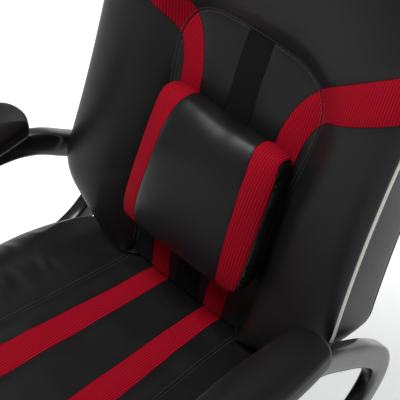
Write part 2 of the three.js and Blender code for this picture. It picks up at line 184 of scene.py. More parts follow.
def distance_to(x, y, line, widths=None):
    """Distance from points to a polyline, less the line's local half-width if it has one."""
    best = np.full(np.shape(x), 1e9)
    for k, (a, b) in enumerate(zip(line, line[1:])):
        ab = b - a
        t = np.clip(((x - a[0]) * ab[0] + (y - a[1]) * ab[1]) / (ab @ ab + 1e-9), 0, 1)
        gap = np.hypot(x - a[0] - t * ab[0], y - a[1] - t * ab[1])
        if widths is not None:
            gap = gap - (widths[k] + t * (widths[k + 1] - widths[k]))
        best = np.minimum(best, gap)
    return best


def smooth_step(x):
    x = np.clip(x, 0, 1)
    return x * x * (3 - 2 * x)


def puff(distance, height, reach):
    """How far stuffed fabric stands up at a distance from the seam that holds it down."""
    return height * (1 - np.exp(-np.maximum(distance, 0) / reach))


BACK_BOTTOM, BACK_TOP = 3, 720
BACK_EDGE = curve_points(
    (104, 3), (134, 3, 168, 24), (229, 62), (261, 84, 261, 122), (254, 230, 256, 330),
    (257, 410, 262, 470), (265, 545, 223, 600), (187, 640, 173, 672), (155, 720, 109, 720),
)
ARCH = curve_points(
    (112, -30), (110, 180, 114, 264), (127, 330, 127, 372), (126, 440, 60, 446), (0, 448),
)
BACK_STRIP = smooth_through([
    (53.5, -30, 18.5), (56.5, 40, 18.5), (73, 180, 19), (89.5, 315, 19.5), (94, 350, 19.7),
    (107, 386, 20.5), (128, 413, 22.5), (158, 437, 25.8), (206, 470, 29), (280, 521, 32),
])
BLACK_STRIP_HALF = 22


def back_regions(across, along):
    """Signed distances in millimetres to the red strips, the black strip and the arch seam."""
    side = np.abs(across)
    red = distance_to(side, along, BACK_STRIP[:, :2], BACK_STRIP[:, 2])
    arch = distance_to(side, along, ARCH)
    half_width = np.interp(along, ARCH[:, 1], ARCH[:, 0])
    inside = (side < half_width) & (along < ARCH[-1, 1])
    arch = np.where(inside, -arch, arch)
    black = np.where(arch < 0, np.maximum(side - BLACK_STRIP_HALF, arch), np.maximum(arch, 1))
    return red, black, arch


def back_height(across, along):
    red, black, arch = back_regions(across, along)
    edge = distance_to(np.abs(across), along, BACK_EDGE)
    edge = np.minimum(edge, np.minimum(along - BACK_BOTTOM, BACK_TOP - along))
    edge = np.maximum(edge, 0)
    part = arch / np.maximum(arch + edge, 1)
    bolster = BOLSTER * smooth_step(np.clip(part, 0, 1) ** 0.7)
    bolster += 11 * np.sin(math.pi * np.clip(part, 0, 1)) * smooth_step(arch / 60)
    bolster += puff(edge, 9, 12) * smooth_step(arch / 40) + puff(arch, 5, 10)
    centre = 3 * smooth_step(-arch / 70)
    height = np.where(arch > 0, bolster, centre)
    seam = np.minimum(np.minimum(np.abs(red), np.abs(arch)), np.abs(black))
    height += puff(seam, 2.4, 6)
    foot = smooth_step(1 - along / 70)
    return height - foot * 7 * (1 - np.clip(edge / 30, 0, 1) * 0.4)


def grid_shell(name, front, rings, back, values):
    """A closed mesh: a front grid, rings round its edge, and a back grid. Values are
    per-point attributes of the front, which the rest of the shell takes from its edge. The
    front has the first material and the rest the second."""
    rows, columns = front.shape[:2]
    index = np.arange(rows * columns).reshape(rows, columns)
    loop = edge_loop(index)
    points = [front.reshape(-1, 3)]
    sources = [np.arange(rows * columns)]
    faces = []
    for i in range(rows - 1):
        for j in range(columns - 1):
            faces.append((index[i, j], index[i, j + 1], index[i + 1, j + 1], index[i + 1, j]))
    previous = loop
    total = rows * columns
    for ring in rings:
        current = total + np.arange(len(loop))
        points.append(ring)
        sources.append(loop)
        for k in range(len(loop)):
            following = (k + 1) % len(loop)
            faces.append((previous[k], current[k], current[following], previous[following]))
        previous = current
        total += len(loop)
    rear = total + index
    rear_loop = total + loop
    points.append(back.reshape(-1, 3))
    sources.append(np.arange(rows * columns))
    for k in range(len(loop)):
        following = (k + 1) % len(loop)
        faces.append((previous[k], rear_loop[k], rear_loop[following], previous[following]))
    for i in range(rows - 1):
        for j in range(columns - 1):
            faces.append((rear[i, j], rear[i + 1, j], rear[i + 1, j + 1], rear[i, j + 1]))
    piece = piece_of(name, np.concatenate(points).tolist(), [tuple(map(int, f)) for f in faces])
    slots = np.ones(len(faces), np.int32)
    slots[:(rows - 1) * (columns - 1)] = 0
    piece.data.polygons.foreach_set("material_index", slots)
    source = np.concatenate(sources)
    for key, value in values.items():
        add_attribute(piece.data, key, value.reshape(rows * columns, -1)[source])
    outward(piece)
    return piece


def add_attribute(mesh, key, values):
    """Keeps a number or a vector for each point of a mesh."""
    values = np.asarray(values, np.float32)
    if values.ndim == 1 or values.shape[1] == 1:
        attribute = mesh.attributes.new(key, "FLOAT", "POINT")
        attribute.data.foreach_set("value", values.ravel())
    else:
        attribute = mesh.attributes.new(key, "FLOAT_VECTOR", "POINT")
        attribute.data.foreach_set("vector", values.ravel())


def outward(piece, smooth=True):
    """Merges doubled points, turns every face outwards and shades the piece smooth."""
    shape = bmesh.new()
    shape.from_mesh(piece.data)
    bmesh.ops.remove_doubles(shape, verts=shape.verts, dist=1e-6)
    bmesh.ops.recalc_face_normals(shape, faces=shape.faces)
    shape.to_mesh(piece.data)
    shape.free()
    if smooth:
        piece.data.shade_smooth()


def edge_loop(grid):
    """The values round a grid's edge, as one closed loop."""
    return np.concatenate([grid[0, :-1], grid[:-1, -1], grid[-1, :0:-1], grid[:0:-1, 0]])


def loop_normals(loop):
    tangent = np.roll(loop, -1, 0) - np.roll(loop, 1, 0)
    tangent /= np.maximum(np.linalg.norm(tangent, axis=1, keepdims=True), 1e-9)
    normal = np.stack([tangent[:, 1], -tangent[:, 0]], -1)
    for _ in range(3):
        normal = (np.roll(normal, 1, 0) + 2 * normal + np.roll(normal, -1, 0)) / 4
    return normal / np.linalg.norm(normal, axis=1, keepdims=True)


def spread(count, ends):
    """Numbers from -1 to 1, closer together towards the ends."""
    v = np.linspace(-1, 1, count)
    return (1 - ends) * v + ends * np.sin(v * math.pi / 2)


def back_grid(rows, columns, inset=0):
    along = (spread(rows, 0.7) + 1) / 2 * (BACK_TOP - BACK_BOTTOM - 2 * inset)
    along = along + BACK_BOTTOM + inset
    half = np.interp(along, BACK_EDGE[:, 1], BACK_EDGE[:, 0]) - inset
    across = np.multiply.outer(half, spread(columns, 0.6))
    return across, np.repeat(along[:, None], columns, 1)


# -- the fabrics: attributes say where the strips, seams and weave lie --
def add_node(material, kind, **settings):
    node = material.node_tree.nodes.new(kind)
    for key, value in settings.items():
        if hasattr(node, key):
            setattr(node, key, value)
        else:
            node.inputs[key].default_value = value
    return node


def connect(material, source, target):
    material.node_tree.links.new(source, target)


def maths(material, operation, first, second=None, third=None, clamp=False):
    node = add_node(material, "ShaderNodeMath", operation=operation, use_clamp=clamp)
    for socket, value in zip(node.inputs, (first, second, third)):
        if value is None:
            continue
        if isinstance(value, (int, float)):
            socket.default_value = value
        else:
            connect(material, value, socket)
    return node.outputs[0]


def blend_of(material, kind, factor, first, second):
    node = add_node(material, "ShaderNodeMix", data_type=kind)
    offset = {"FLOAT": 2, "RGBA": 6}[kind]
    connect(material, factor, node.inputs[0])
    for socket, value in zip((node.inputs[offset], node.inputs[offset + 1]), (first, second)):
        if isinstance(value, (int, float, tuple)):
            socket.default_value = value
        else:
            connect(material, value, socket)
    return node.outputs[{"FLOAT": 0, "RGBA": 2}[kind]]


def texture(material, kind, place=None, **settings):
    """A texture that reads the given place, or the object's own coordinates."""
    node = add_node(material, f"ShaderNodeTex{kind}", **settings)
    if place is None:
        place = add_node(material, "ShaderNodeTexCoord").outputs["Object"]
    connect(material, place, node.inputs["Vector"])
    return node


def surface(material, colour, roughness, height=None, strength=0.0, depth=0.0):
    """Joins a colour, a roughness and a bump, its depth in millimetres, to the shader."""
    shader = material.node_tree.nodes["Principled BSDF"]
    connect(material, colour, shader.inputs["Base Color"])
    if isinstance(roughness, float):
        shader.inputs["Roughness"].default_value = roughness
    else:
        connect(material, roughness, shader.inputs["Roughness"])
    if height is not None:
        bump = add_node(material, "ShaderNodeBump", Strength=strength, Distance=depth * MM)
        connect(material, height, bump.inputs["Height"])
        connect(material, bump.outputs["Normal"], shader.inputs["Normal"])
    return material


def leather_grain(material):
    """Small pebbled cells with fine noise, as heights and as a slow change of shade."""
    cells = texture(material, "Voronoi", Scale=620.0)
    fine = texture(material, "Noise", Scale=1700.0, Detail=2.0)
    slow = texture(material, "Noise", Scale=9.0, Detail=3.0)
    grain = maths(material, "ADD", cells.outputs["Distance"], fine.outputs["Fac"])
    return grain, slow.outputs["Fac"]


LEATHER_BLACK = (0.0040, 0.0040, 0.0043, 1)
LEATHER_PALER = (0.0072, 0.0072, 0.0076, 1)
MESH_RED = (0.36, 0.003, 0.014, 1)
# The darker red is painted shade for the hollows of the mesh's ribs and holes.
MESH_RED_HOLLOW_SHADE = (0.10, 0.001, 0.005, 1)
LEATHER_GLOSS = 0.24
RIB_PITCH, HOLE_PITCH = 3.8, 5.0
MESH_BLACK = (0.006, 0.006, 0.0065, 1)


def coated_fabric(name, strips=False):
    """Black coated fabric. With strips, its attributes red, black and seam are distances in
    millimetres to each, and weave is the place of a point on the uncut cloth."""
    material, shader = new_material(name)
    grain, slow = leather_grain(material)
    colour = blend_of(material, "RGBA", slow, LEATHER_BLACK, LEATHER_PALER)
    roughness = maths(material, "MULTIPLY_ADD", slow, 0.14, 0.36)
    height = maths(material, "MULTIPLY", grain, 0.10)
    shader.inputs["Specular IOR Level"].default_value = LEATHER_GLOSS
    if strips:
        red, black, seam, weave = [
            add_node(material, "ShaderNodeAttribute", attribute_name=key)
            for key in ("red", "black", "seam", "weave")
        ]
        parts = add_node(material, "ShaderNodeSeparateXYZ")
        connect(material, weave.outputs["Vector"], parts.inputs[0])
        turns_x = maths(material, "MULTIPLY", parts.outputs[0], math.tau / RIB_PITCH)
        turns_y = maths(material, "MULTIPLY", parts.outputs[1], math.tau / HOLE_PITCH)
        rib = maths(material, "SINE", turns_x)
        cell = maths(material, "MULTIPLY", rib, maths(material, "SINE", turns_y))
        relief = maths(material, "ADD", rib, cell)
        cloth = maths(material, "MULTIPLY_ADD", relief, 0.35, 0.55, clamp=True)
        in_red = maths(material, "LESS_THAN", red.outputs["Fac"], 0.0)
        in_black = maths(material, "LESS_THAN", black.outputs["Fac"], 0.0)
        in_mesh = maths(material, "MAXIMUM", in_red, in_black)
        # The mesh is painted darker in the low parts of its relief and full red on its ribs: painted shade
        # in the hollows of the weave.
        red_cloth = blend_of(material, "RGBA", cloth, MESH_RED_HOLLOW_SHADE, MESH_RED)
        colour = blend_of(material, "RGBA", in_black, colour, MESH_BLACK)
        colour = blend_of(material, "RGBA", in_red, colour, red_cloth)
        roughness = blend_of(material, "FLOAT", in_mesh, roughness, 0.82)
        height = blend_of(material, "FLOAT", in_mesh, height, maths(material, "MULTIPLY", cloth, 2.2))
        gloss = blend_of(material, "FLOAT", in_mesh, LEATHER_GLOSS, 0.06)
        connect(material, gloss, shader.inputs["Specular IOR Level"])
        # Within 1.5 mm of every seam the fabric is painted almost black, as painted shade in the seam's
        # groove; the same mask also sinks the groove in the bump.
        nearest = maths(material, "ABSOLUTE", seam.outputs["Fac"])
        for other in (red, black):
            gap = maths(material, "ABSOLUTE", other.outputs["Fac"])
            nearest = maths(material, "MINIMUM", nearest, gap)
        groove_and_shade = maths(material, "DIVIDE", nearest, 1.5, clamp=True)
        colour = blend_of(material, "RGBA", groove_and_shade, (0.002, 0.002, 0.002, 1), colour)
        height = maths(material, "ADD", height, maths(material, "MULTIPLY", groove_and_shade, 1.6))
    return surface(material, colour, roughness, height, strength=0.5, depth=0.4)


plain_fabric = coated_fabric("plain coated fabric")

across, along = back_grid(230, 150)
out = back_height(across, along)
red, black, arch = back_regions(across, along)
edge_line = edge_loop(np.stack([across, along], -1))
edge_normal = loop_normals(edge_line)
edge_out = edge_loop(out)
gusset = []
for step in np.linspace(0, 1, 15)[1:]:
    swell = 2.6 * math.sin(math.pi * step) ** 0.6
    x, y = (edge_line + swell * edge_normal).T
    gusset.append(on_back(x, y, edge_out + (-CUSHION_DEPTH - edge_out) * step))
backrest = grid_shell(
    "backrest_cover", on_back(across, along, out), gusset,
    on_back(across * 0.995, along, np.full(across.shape, -CUSHION_DEPTH)),
    {
        "red": red, "black": black, "seam": arch,
        "weave": np.stack([across, along, out], -1),
    },
)
backrest.data.materials.append(coated_fabric("backrest fabric", strips=True))
backrest.data.materials.append(plain_fabric)
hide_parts("back_cushion")
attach(backrest, "seat")

# ---- Backrest: rear panel ----
# A sewn cover of the same coated fabric over thin foam, pulled round the plywood board and
# stapled behind its edge, so its rim is rounded and its face is slightly crowned.
PANEL_NEAR, PANEL_FAR = 73.5, 83
across, along = back_grid(120, 80, inset=1.5)
rim_gap = distance_to(np.abs(across), along, BACK_EDGE)
rim_gap = np.minimum(rim_gap, np.minimum(along - BACK_BOTTOM, BACK_TOP - along))
panel_out = -PANEL_FAR + 6 - puff(rim_gap, 6, 5) - 0.8 * smooth_step(rim_gap / 200)
line = edge_loop(np.stack([across, along], -1))
normal = loop_normals(line)
rim_out = edge_loop(panel_out)
rings = []
for step in (0.35, 0.7, 1):
    x, y = (line + 1.6 * math.sin(math.pi * step) * normal).T
    rings.append(on_back(x, y, rim_out + (-PANEL_NEAR - rim_out) * step))
rear_panel = grid_shell(
    "backrest_rear_panel", on_back(across, along, panel_out), rings,
    on_back(across, along, np.full(across.shape, -PANEL_NEAR)), {},
)
rear_panel.data.materials.append(plain_fabric)
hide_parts("back_rear_panel")
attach(rear_panel, "seat")

# ---- Backrest: piping ----
# Off-white woven piping over a cord, 7 mm thick, sewn into the seam between face and gusset.
# It stops near the bottom corners, where its two ends are tucked into the seam.
PIPING_RADIUS, THREAD_PITCH = 3.4, 2.1


def band_faces(rings, sides, closed=False, flip=False):
    """Faces between rings of points that follow each other in one list."""
    faces = []
    for k in range(rings if closed else rings - 1):
        a, b = k * sides, (k + 1) % rings * sides
        for j in range(sides):
            n = (j + 1) % sides
            faces.append((a + j, b + j, b + n, a + n) if flip else (a + j, a + n, b + n, b + j))
    return faces


def tube_along(name, points, radius, sides=14):
    """A round tube along points in metres, with the run length and the turn round the tube,
    in millimetres, kept as the attribute lay. Its ends taper shut."""
    points = np.array(points, float)
    step = np.roll(points, -1, 0) - np.roll(points, 1, 0)
    step[0], step[-1] = points[1] - points[0], points[-1] - points[-2]
    step /= np.linalg.norm(step, axis=1, keepdims=True)
    up = np.cross(step[0], (0.3, 0.9, 0.2))
    run = np.concatenate([[0], np.cumsum(np.linalg.norm(np.diff(points, axis=0), axis=1))]) / MM
    ring_points, lay = [], []
    for k, (place, ahead) in enumerate(zip(points, step)):
        up = up - ahead * (up @ ahead)
        up /= np.linalg.norm(up)
        side = np.cross(ahead, up)
        size = radius * MM * (1 if 0 < k < len(points) - 1 else 0.35)
        for j in range(sides):
            angle = math.tau * j / sides
            ring_points.append(place + size * (math.cos(angle) * up + math.sin(angle) * side))
            lay.append((run[k], angle * radius, 0))
    faces = band_faces(len(points), sides)
    faces.append(tuple(range(sides)))
    faces.append(tuple((len(points) - 1) * sides + j for j in range(sides)))
    piece = piece_of(name, [tuple(p) for p in ring_points], faces)
    add_attribute(piece.data, "lay", lay)
    outward(piece)
    return piece


def woven_piping():
    material, _ = new_material("off-white piping")
    lay = add_node(material, "ShaderNodeAttribute", attribute_name="lay")
    parts = add_node(material, "ShaderNodeSeparateXYZ")
    connect(material, lay.outputs["Vector"], parts.inputs[0])
    twist = maths(material, "ADD", parts.outputs[0], maths(material, "MULTIPLY", parts.outputs[1], 0.9))
    wave = maths(material, "SINE", maths(material, "MULTIPLY", twist, math.tau / THREAD_PITCH))
    thread = maths(material, "MULTIPLY_ADD", wave, 0.5, 0.5)
    # The cord is painted darker along the low parts of its twisted threads and paler on their crowns:
    # painted shade in the grooves between them.
    colour = blend_of(material, "RGBA", thread, (0.56, 0.54, 0.47, 1), (0.86, 0.85, 0.8, 1))
    return surface(material, colour, 0.6, thread, strength=0.6, depth=0.4)


def even_run(line, count, endpoint=True):
    """Points at even steps along a line in its own plane."""
    gap = np.concatenate([[0], np.cumsum(np.hypot(*np.diff(line, axis=0).T))])
    even = np.linspace(0, gap[-1], count, endpoint=endpoint)
    return np.stack([np.interp(even, gap, line[:, k]) for k in (0, 1)], -1)


side_run = even_run(np.array([p for p in BACK_EDGE if p[1] > 20]), 150)
top_run = np.stack([np.linspace(side_run[-1, 0], -side_run[-1, 0], 40)[1:-1],
                    np.full(38, side_run[-1, 1])], -1)
piping_line = np.concatenate([side_run, top_run, side_run[::-1] * (-1, 1)])
piping_out = loop_normals(piping_line)
x, y = (piping_line + 0.4 * piping_out).T
piping = tube_along("backrest_piping", on_back(x, y, np.full(len(x), BOLSTER + 0.2)), PIPING_RADIUS)
piping.data.materials.append(woven_piping())
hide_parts("back_piping")
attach(piping, "seat")

# ---- Seat cushion ----
# Foam on a plywood board under a sewn cover. A flat centre panel runs between raised bolsters,
# and two red mesh strips carry on from the backrest's. The front edge rolls down softly.
SEAT_FRONT, SEAT_REAR = -485, 42
SEAT_BASE, SEAT_LIP = -81.5, -94
SEAT_SLOPE = math.tan(math.radians(4))
NO_STRIP = 50.0  # a distance that keeps the black mesh strip off a cover
SEAT_EDGE = curve_points(
    (169, 42), (219, 42, 237, -20), (259, -80, 259, -150), (257, -380),
    (251, -473, 159, -479), (110, -485),
)
SEAT_SEAM = smooth_through([(110, 40), (112, -60), (121, -200), (128, -340), (122, -420), (112, -500)])
SEAT_STRIP = smooth_through([
    (53.5, 40, 17), (55, -60, 18.5), (62.5, -200, 22), (70, -340, 25), (73, -500, 26),
])


def on_seat(across, along, up):
    place = np.stack([across, along, up - SEAT_SLOPE * along * (up + SEAT_DEPTH) / SEAT_DEPTH], -1)
    return place * MM + np.array(JUNCTION)


def seat_regions(across, along):
    side = np.abs(across)
    red = distance_to(side, along, SEAT_STRIP[:, :2], SEAT_STRIP[:, 2])
    seam_x = np.interp(-along, -SEAT_SEAM[:, 1], SEAT_SEAM[:, 0])
    return red, side - seam_x


def noise_over(across, along, place):
    """Smooth noise at each point of a grid or row, read where the given function says."""
    values = [noise.noise(Vector(place(a, b))) for a, b in zip(across.ravel(), along.ravel())]
    return np.array(values).reshape(across.shape)


def seat_height(across, along):
    red, seam = seat_regions(across, along)
    edge = distance_to(np.abs(across), along, SEAT_EDGE)
    ends = np.minimum(SEAT_REAR + 45 - along, along - SEAT_FRONT)
    edge = np.maximum(np.minimum(edge, ends), 0)
    height = 15 * smooth_step(seam / 75) * (seam > 0) - 2
    roll = 30 * (1 - np.clip(edge / 62, 0, 1)) ** 2.4
    front_roll = 16 * (1 - np.clip((along - SEAT_FRONT) / 120, 0, 1)) ** 2
    height = height - roll - front_roll
    front_fade = smooth_step((SEAT_FRONT + 60 - along) / 45)
    lines = np.minimum(np.abs(red), np.abs(seam)) + 10 * front_fade
    height += puff(lines, 3.0, 7)
    height = height + 1.1 * noise_over(across, along, lambda a, b: (a * 0.011, b * 0.02, 3.7))
    creases = noise_over(across, along, lambda a, b: (abs(a) * 0.012 + b * 0.006, b * 0.034, 9.2))
    creases = -4.2 * np.abs(creases)
    height = height + creases * smooth_step((np.abs(across) - 130) / 40) * smooth_step(edge / 30)
    under_back = (-3 - math.sin(RECLINE) * along) / math.cos(RECLINE) + SEAT_SLOPE * along
    return np.minimum(height, under_back)


along = (spread(150, 0.6) + 1) / 2 * (SEAT_FRONT - SEAT_REAR) + SEAT_REAR
order = np.argsort(SEAT_EDGE[:, 1])
half = np.interp(along, SEAT_EDGE[order, 1], SEAT_EDGE[order, 0])
across = np.multiply.outer(half, spread(150, 0.6))
along = np.repeat(along[:, None], 150, 1)
up = seat_height(across, along)
red, seam = seat_regions(across, along)
line = edge_loop(np.stack([across, along], -1))
normal = loop_normals(line)
normal *= np.sign((normal * (line - (0, -233))).sum(1).mean())
rim_up = edge_loop(up)
rings = []
for step in np.linspace(0, 1, 13)[1:]:
    swell = 5.5 * math.sin(math.pi * step) ** 0.7 - 9 * smooth_step((step - 0.72) / 0.28)
    x, y = (line + swell * normal).T
    rings.append(on_seat(x, y, rim_up + (SEAT_LIP - rim_up) * step))
for inset, height in ((12, SEAT_LIP - 1.5), (19, SEAT_LIP - 1.5), (20, SEAT_LIP), (20, SEAT_BASE)):
    x, y = (line - inset * normal).T
    rings.append(on_seat(x, y, np.full(len(x), height)))
seat = grid_shell(
    "seat_cover", on_seat(across, along, up), rings,
    on_seat(across * 0.92, along * 0.92 - 17, np.full(across.shape, SEAT_BASE)),
    {
        "red": red, "black": np.full(across.shape, NO_STRIP),
        "seam": seam, "weave": np.stack([across, along, up], -1),
    },
)
seat.data.materials.append(coated_fabric("seat fabric", strips=True))
seat.data.materials.append(plain_fabric)
for face in seat.data.polygons:
    if face.normal.y < -0.4 and face.normal.z > -0.3 and abs(face.center.x) < 150 * MM:
        face.material_index = 0
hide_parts("seat_cushion")
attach(seat, "seat")

# ---- Lumbar cushion ----
# A small boxed cushion of loose fibre in a sewn cover: two faces joined by a side gusset that
# puckers at its corners. Red mesh strips run up both edges of the face and over the top.
LUMBAR_HALF, LUMBAR_TOP_HALF, LUMBAR_RISE = 119, 115, 114
LUMBAR_MIDDLE = 210
LUMBAR_REAR = 4.0


CLOTH_FRAMES = 18


def inflate(piece, size, pressure, cap):
    """Swells a closed piece with cloth under pressure, and caps how far its points move."""
    remesh = piece.modifiers.new("remesh", "REMESH")
    remesh.mode = "VOXEL"
    remesh.voxel_size = size * MM
    bake(piece)
    start = np.array([v.co for v in piece.data.vertices])
    cloth = piece.modifiers.new("cloth", "CLOTH")
    settings = cloth.settings
    settings.use_pressure = True
    settings.uniform_pressure_force = pressure
    settings.effector_weights.gravity = 0
    settings.quality = 5
    settings.tension_stiffness = settings.compression_stiffness = 25
    settings.bending_stiffness = 0.6
    cloth.point_cache.frame_start = 1
    cloth.point_cache.frame_end = CLOTH_FRAMES
    for number in range(1, CLOTH_FRAMES + 1):
        bpy.context.scene.frame_set(number)
    bake(piece)
    bpy.context.scene.frame_set(1)
    moved = np.array([v.co for v in piece.data.vertices]) - start
    length = np.linalg.norm(moved, axis=1, keepdims=True)
    capped = cap * MM * np.tanh(length / (cap * MM))
    moved *= capped / np.maximum(length, 1e-9)
    moved = spread_out(piece.data, moved, rounds=40)
    piece.data.vertices.foreach_set("co", (start + moved).ravel())
    smoothing = piece.modifiers.new("smooth", "SMOOTH")
    smoothing.iterations = 3
    smoothing.factor = 0.5
    finer = piece.modifiers.new("finer", "SUBSURF")
    finer.levels = finer.render_levels = 1
    bake(piece)
    piece.data.shade_smooth()


def spread_out(mesh, moved, rounds):
    """Averages each point's move with its neighbours', so small buckles even out."""
    edges = np.array([edge.vertices for edge in mesh.edges])
    number = np.bincount(edges.ravel(), minlength=len(moved))[:, None]
    for _ in range(rounds):
        total = np.zeros_like(moved)
        np.add.at(total, edges[:, 0], moved[edges[:, 1]])
        np.add.at(total, edges[:, 1], moved[edges[:, 0]])
        moved = 0.5 * moved + 0.5 * total / number
    return moved


def bake(piece):
    """Applies a piece's modifiers to its mesh."""
    graph = bpy.context.evaluated_depsgraph_get()
    old = piece.data
    new = bpy.data.meshes.new_from_object(piece.evaluated_get(graph))
    new.name = old.name
    piece.modifiers.clear()
    piece.data = new


across = np.multiply.outer(np.ones(61), spread(61, 0.5))
along = np.multiply.outer(spread(61, 0.5), np.ones(61))
corner = 1 - 0.05 * np.clip(np.abs(across) * np.abs(along), 0, 1) ** 5
taper = LUMBAR_HALF + (LUMBAR_TOP_HALF - LUMBAR_HALF) * (along + 1) / 2
x_flat = across * taper * corner
y_flat = along * LUMBAR_RISE * corner
crown = (1 - np.abs(across) ** 2.6) * (1 - np.abs(along) ** 3)
face_out = 43 - 7 * along + 28 * np.maximum(crown, 0) ** 0.75
line = edge_loop(np.stack([x_flat, y_flat], -1))
normal = loop_normals(line)
normal *= np.sign((normal * line).sum(1).mean())
rim = edge_loop(face_out)
rings = []
for step in np.linspace(0, 1, 9)[1:]:
    x, y = (line + 3 * math.sin(math.pi * step) * normal).T
    rings.append(on_back(x, y + LUMBAR_MIDDLE, rim + (LUMBAR_REAR - rim) * step))
lumbar = grid_shell(
    "lumbar_cover", on_back(x_flat, y_flat + LUMBAR_MIDDLE, face_out), rings,
    on_back(x_flat * 0.98, y_flat * 0.98 + LUMBAR_MIDDLE, np.full(across.shape, LUMBAR_REAR)), {},
)
inflate(lumbar, size=4.5, pressure=3, cap=7)
points = np.array([v.co for v in lumbar.data.vertices]) - np.array(JUNCTION)
across = points[:, 0] / MM
along = points @ np.array(BACK_ALONG) / MM - LUMBAR_MIDDLE
out = points @ np.array(BACK_OUT) / MM
rise = np.clip(along / LUMBAR_RISE, -1, 1)
seam_half = LUMBAR_HALF + (LUMBAR_TOP_HALF - LUMBAR_HALF) * (rise + 1) / 2
seam_half = seam_half * (1 - 0.06 * np.abs(rise) ** 5) - 1.5
strip_half = 18.5 + 2 * rise
strip = np.abs(np.abs(across) - seam_half + strip_half) - strip_half
pucker = np.array([
    noise.noise(Vector((a * 0.02, b * 0.14, c * 0.03))) for a, b, c in zip(across, along, out)
])
gusset_part = smooth_step((np.abs(across) - seam_half) / 3) * smooth_step((out - 8) / 10)
corner_part = 0.35 + 0.65 * smooth_step((np.abs(along) - 50) / 50)
depth = -8.5 * np.abs(pucker) * gusset_part * corner_part
top_crease = noise_over(across, along, lambda a, b: (a * 0.035, b * 0.012, 8.1))
lift = 1.2 * top_crease * smooth_step((along - 10) / 90) * (1 - gusset_part)
seam_sink = puff(np.abs(strip), 1.6, 5) - 1.6
normals = np.array([v.normal for v in lumbar.data.vertices])
moved = np.array([v.co for v in lumbar.data.vertices])
moved += normals * ((depth + lift + seam_sink) * MM)[:, None]
out_now = (moved - np.array(JUNCTION)) @ np.array(BACK_OUT)
too_deep = np.maximum(LUMBAR_REAR * 0.6 * MM - out_now, 0)
moved += np.multiply.outer(too_deep, np.array(BACK_OUT))
lumbar.data.vertices.foreach_set("co", moved.ravel())
for key, value in {
    "red": strip, "black": np.full(len(strip), NO_STRIP), "seam": strip,
    "weave": np.stack([across, along - out * (along > 90), out], -1),
}.items():
    add_attribute(lumbar.data, key, value)
lumbar.data.materials.append(coated_fabric("lumbar cushion fabric", strips=True))
lumbar.data.shade_smooth()
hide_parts("lumbar_cushion")
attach(lumbar, "lumbar")

# ---- Armrest loops ----
# Injection-moulded glossy black loops, 28 mm wide and 40 mm deep, with a softly crowned
# outer face. The pad screws down on the top run and the bottom run bolts to the seat bracket.
LOOP_LINE = [
    (-300, -112), (-190, -112), (-70, -112), (20, -102), (76, -72), (108, -22), (102, 24),
    (58, 68), (5, 104), (-45, 134), (-100, 152), (-180, 160), (-270, 156), (-330, 128),
    (-358, 66), (-360, -10), (-346, -78),
]
LOOP_X, LOOP_WIDTH, LOOP_DEPTH = 285, 28, 40


def glossy_moulding():
    material, _ = new_material("glossy black moulding")
    smear = texture(material, "Noise", Scale=24.0, Detail=4.0).outputs["Fac"]
    flow = texture(material, "Noise", Scale=90.0, Detail=2.0).outputs["Fac"]
    roughness = maths(material, "MULTIPLY_ADD", smear, 0.16, 0.14)
    colour = blend_of(material, "RGBA", smear, (0.006, 0.006, 0.007, 1), (0.012, 0.012, 0.014, 1))
    return surface(material, colour, roughness, flow, strength=0.06, depth=0.5)


def closed_curve(points, count):
    """An even run of points round a closed Catmull-Rom curve."""
    rows = np.array(points, float)
    dense = smooth_through(np.vstack([rows[-1:], rows, rows[:2]]), steps=24)[24:-24]
    return even_run(dense, count, endpoint=False)


def armrest_loop(name, side):
    line = closed_curve(LOOP_LINE, 220)
    normal = loop_normals(line)
    normal *= np.sign((normal * (line - line.mean(0))).sum(1).mean())
    sides = 32
    points = []
    for centre, outside in zip(line, normal):
        for j in range(sides):
            angle = math.tau * j / sides
            c, s = math.cos(angle), math.sin(angle)
            x = LOOP_WIDTH / 2 * abs(c) ** 0.42 * np.sign(c)
            n = LOOP_DEPTH / 2 * abs(s) ** 0.55 * np.sign(s)
            y, z = centre + n * outside
            points.append((side * LOOP_X + x, y, z))
    points = [tuple(Vector(p) * MM + JUNCTION) for p in points]
    piece = piece_of(name, points, band_faces(len(line), sides, closed=True))
    outward(piece)
    return piece


loop_plastic = glossy_moulding()
for side, hand in ((1, "left"), (-1, "right")):
    loop = armrest_loop(f"armrest_loop_{hand}", side)
    loop.data.materials.append(loop_plastic)
    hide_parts(f"arm_loop_{hand}")
    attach(loop, "seat")

# ---- Armrest pads ----
# Foam over a plywood core, in coated fabric: a domed top cap sewn to a side band, so a seam
# runs round the pad below its widest line. The fabric gathers slightly round the ends.
PAD_HALF, PAD_LENGTH, PAD_THICK, PAD_ROUND = 41, 262, 48, 38
PAD_SEAM = 17


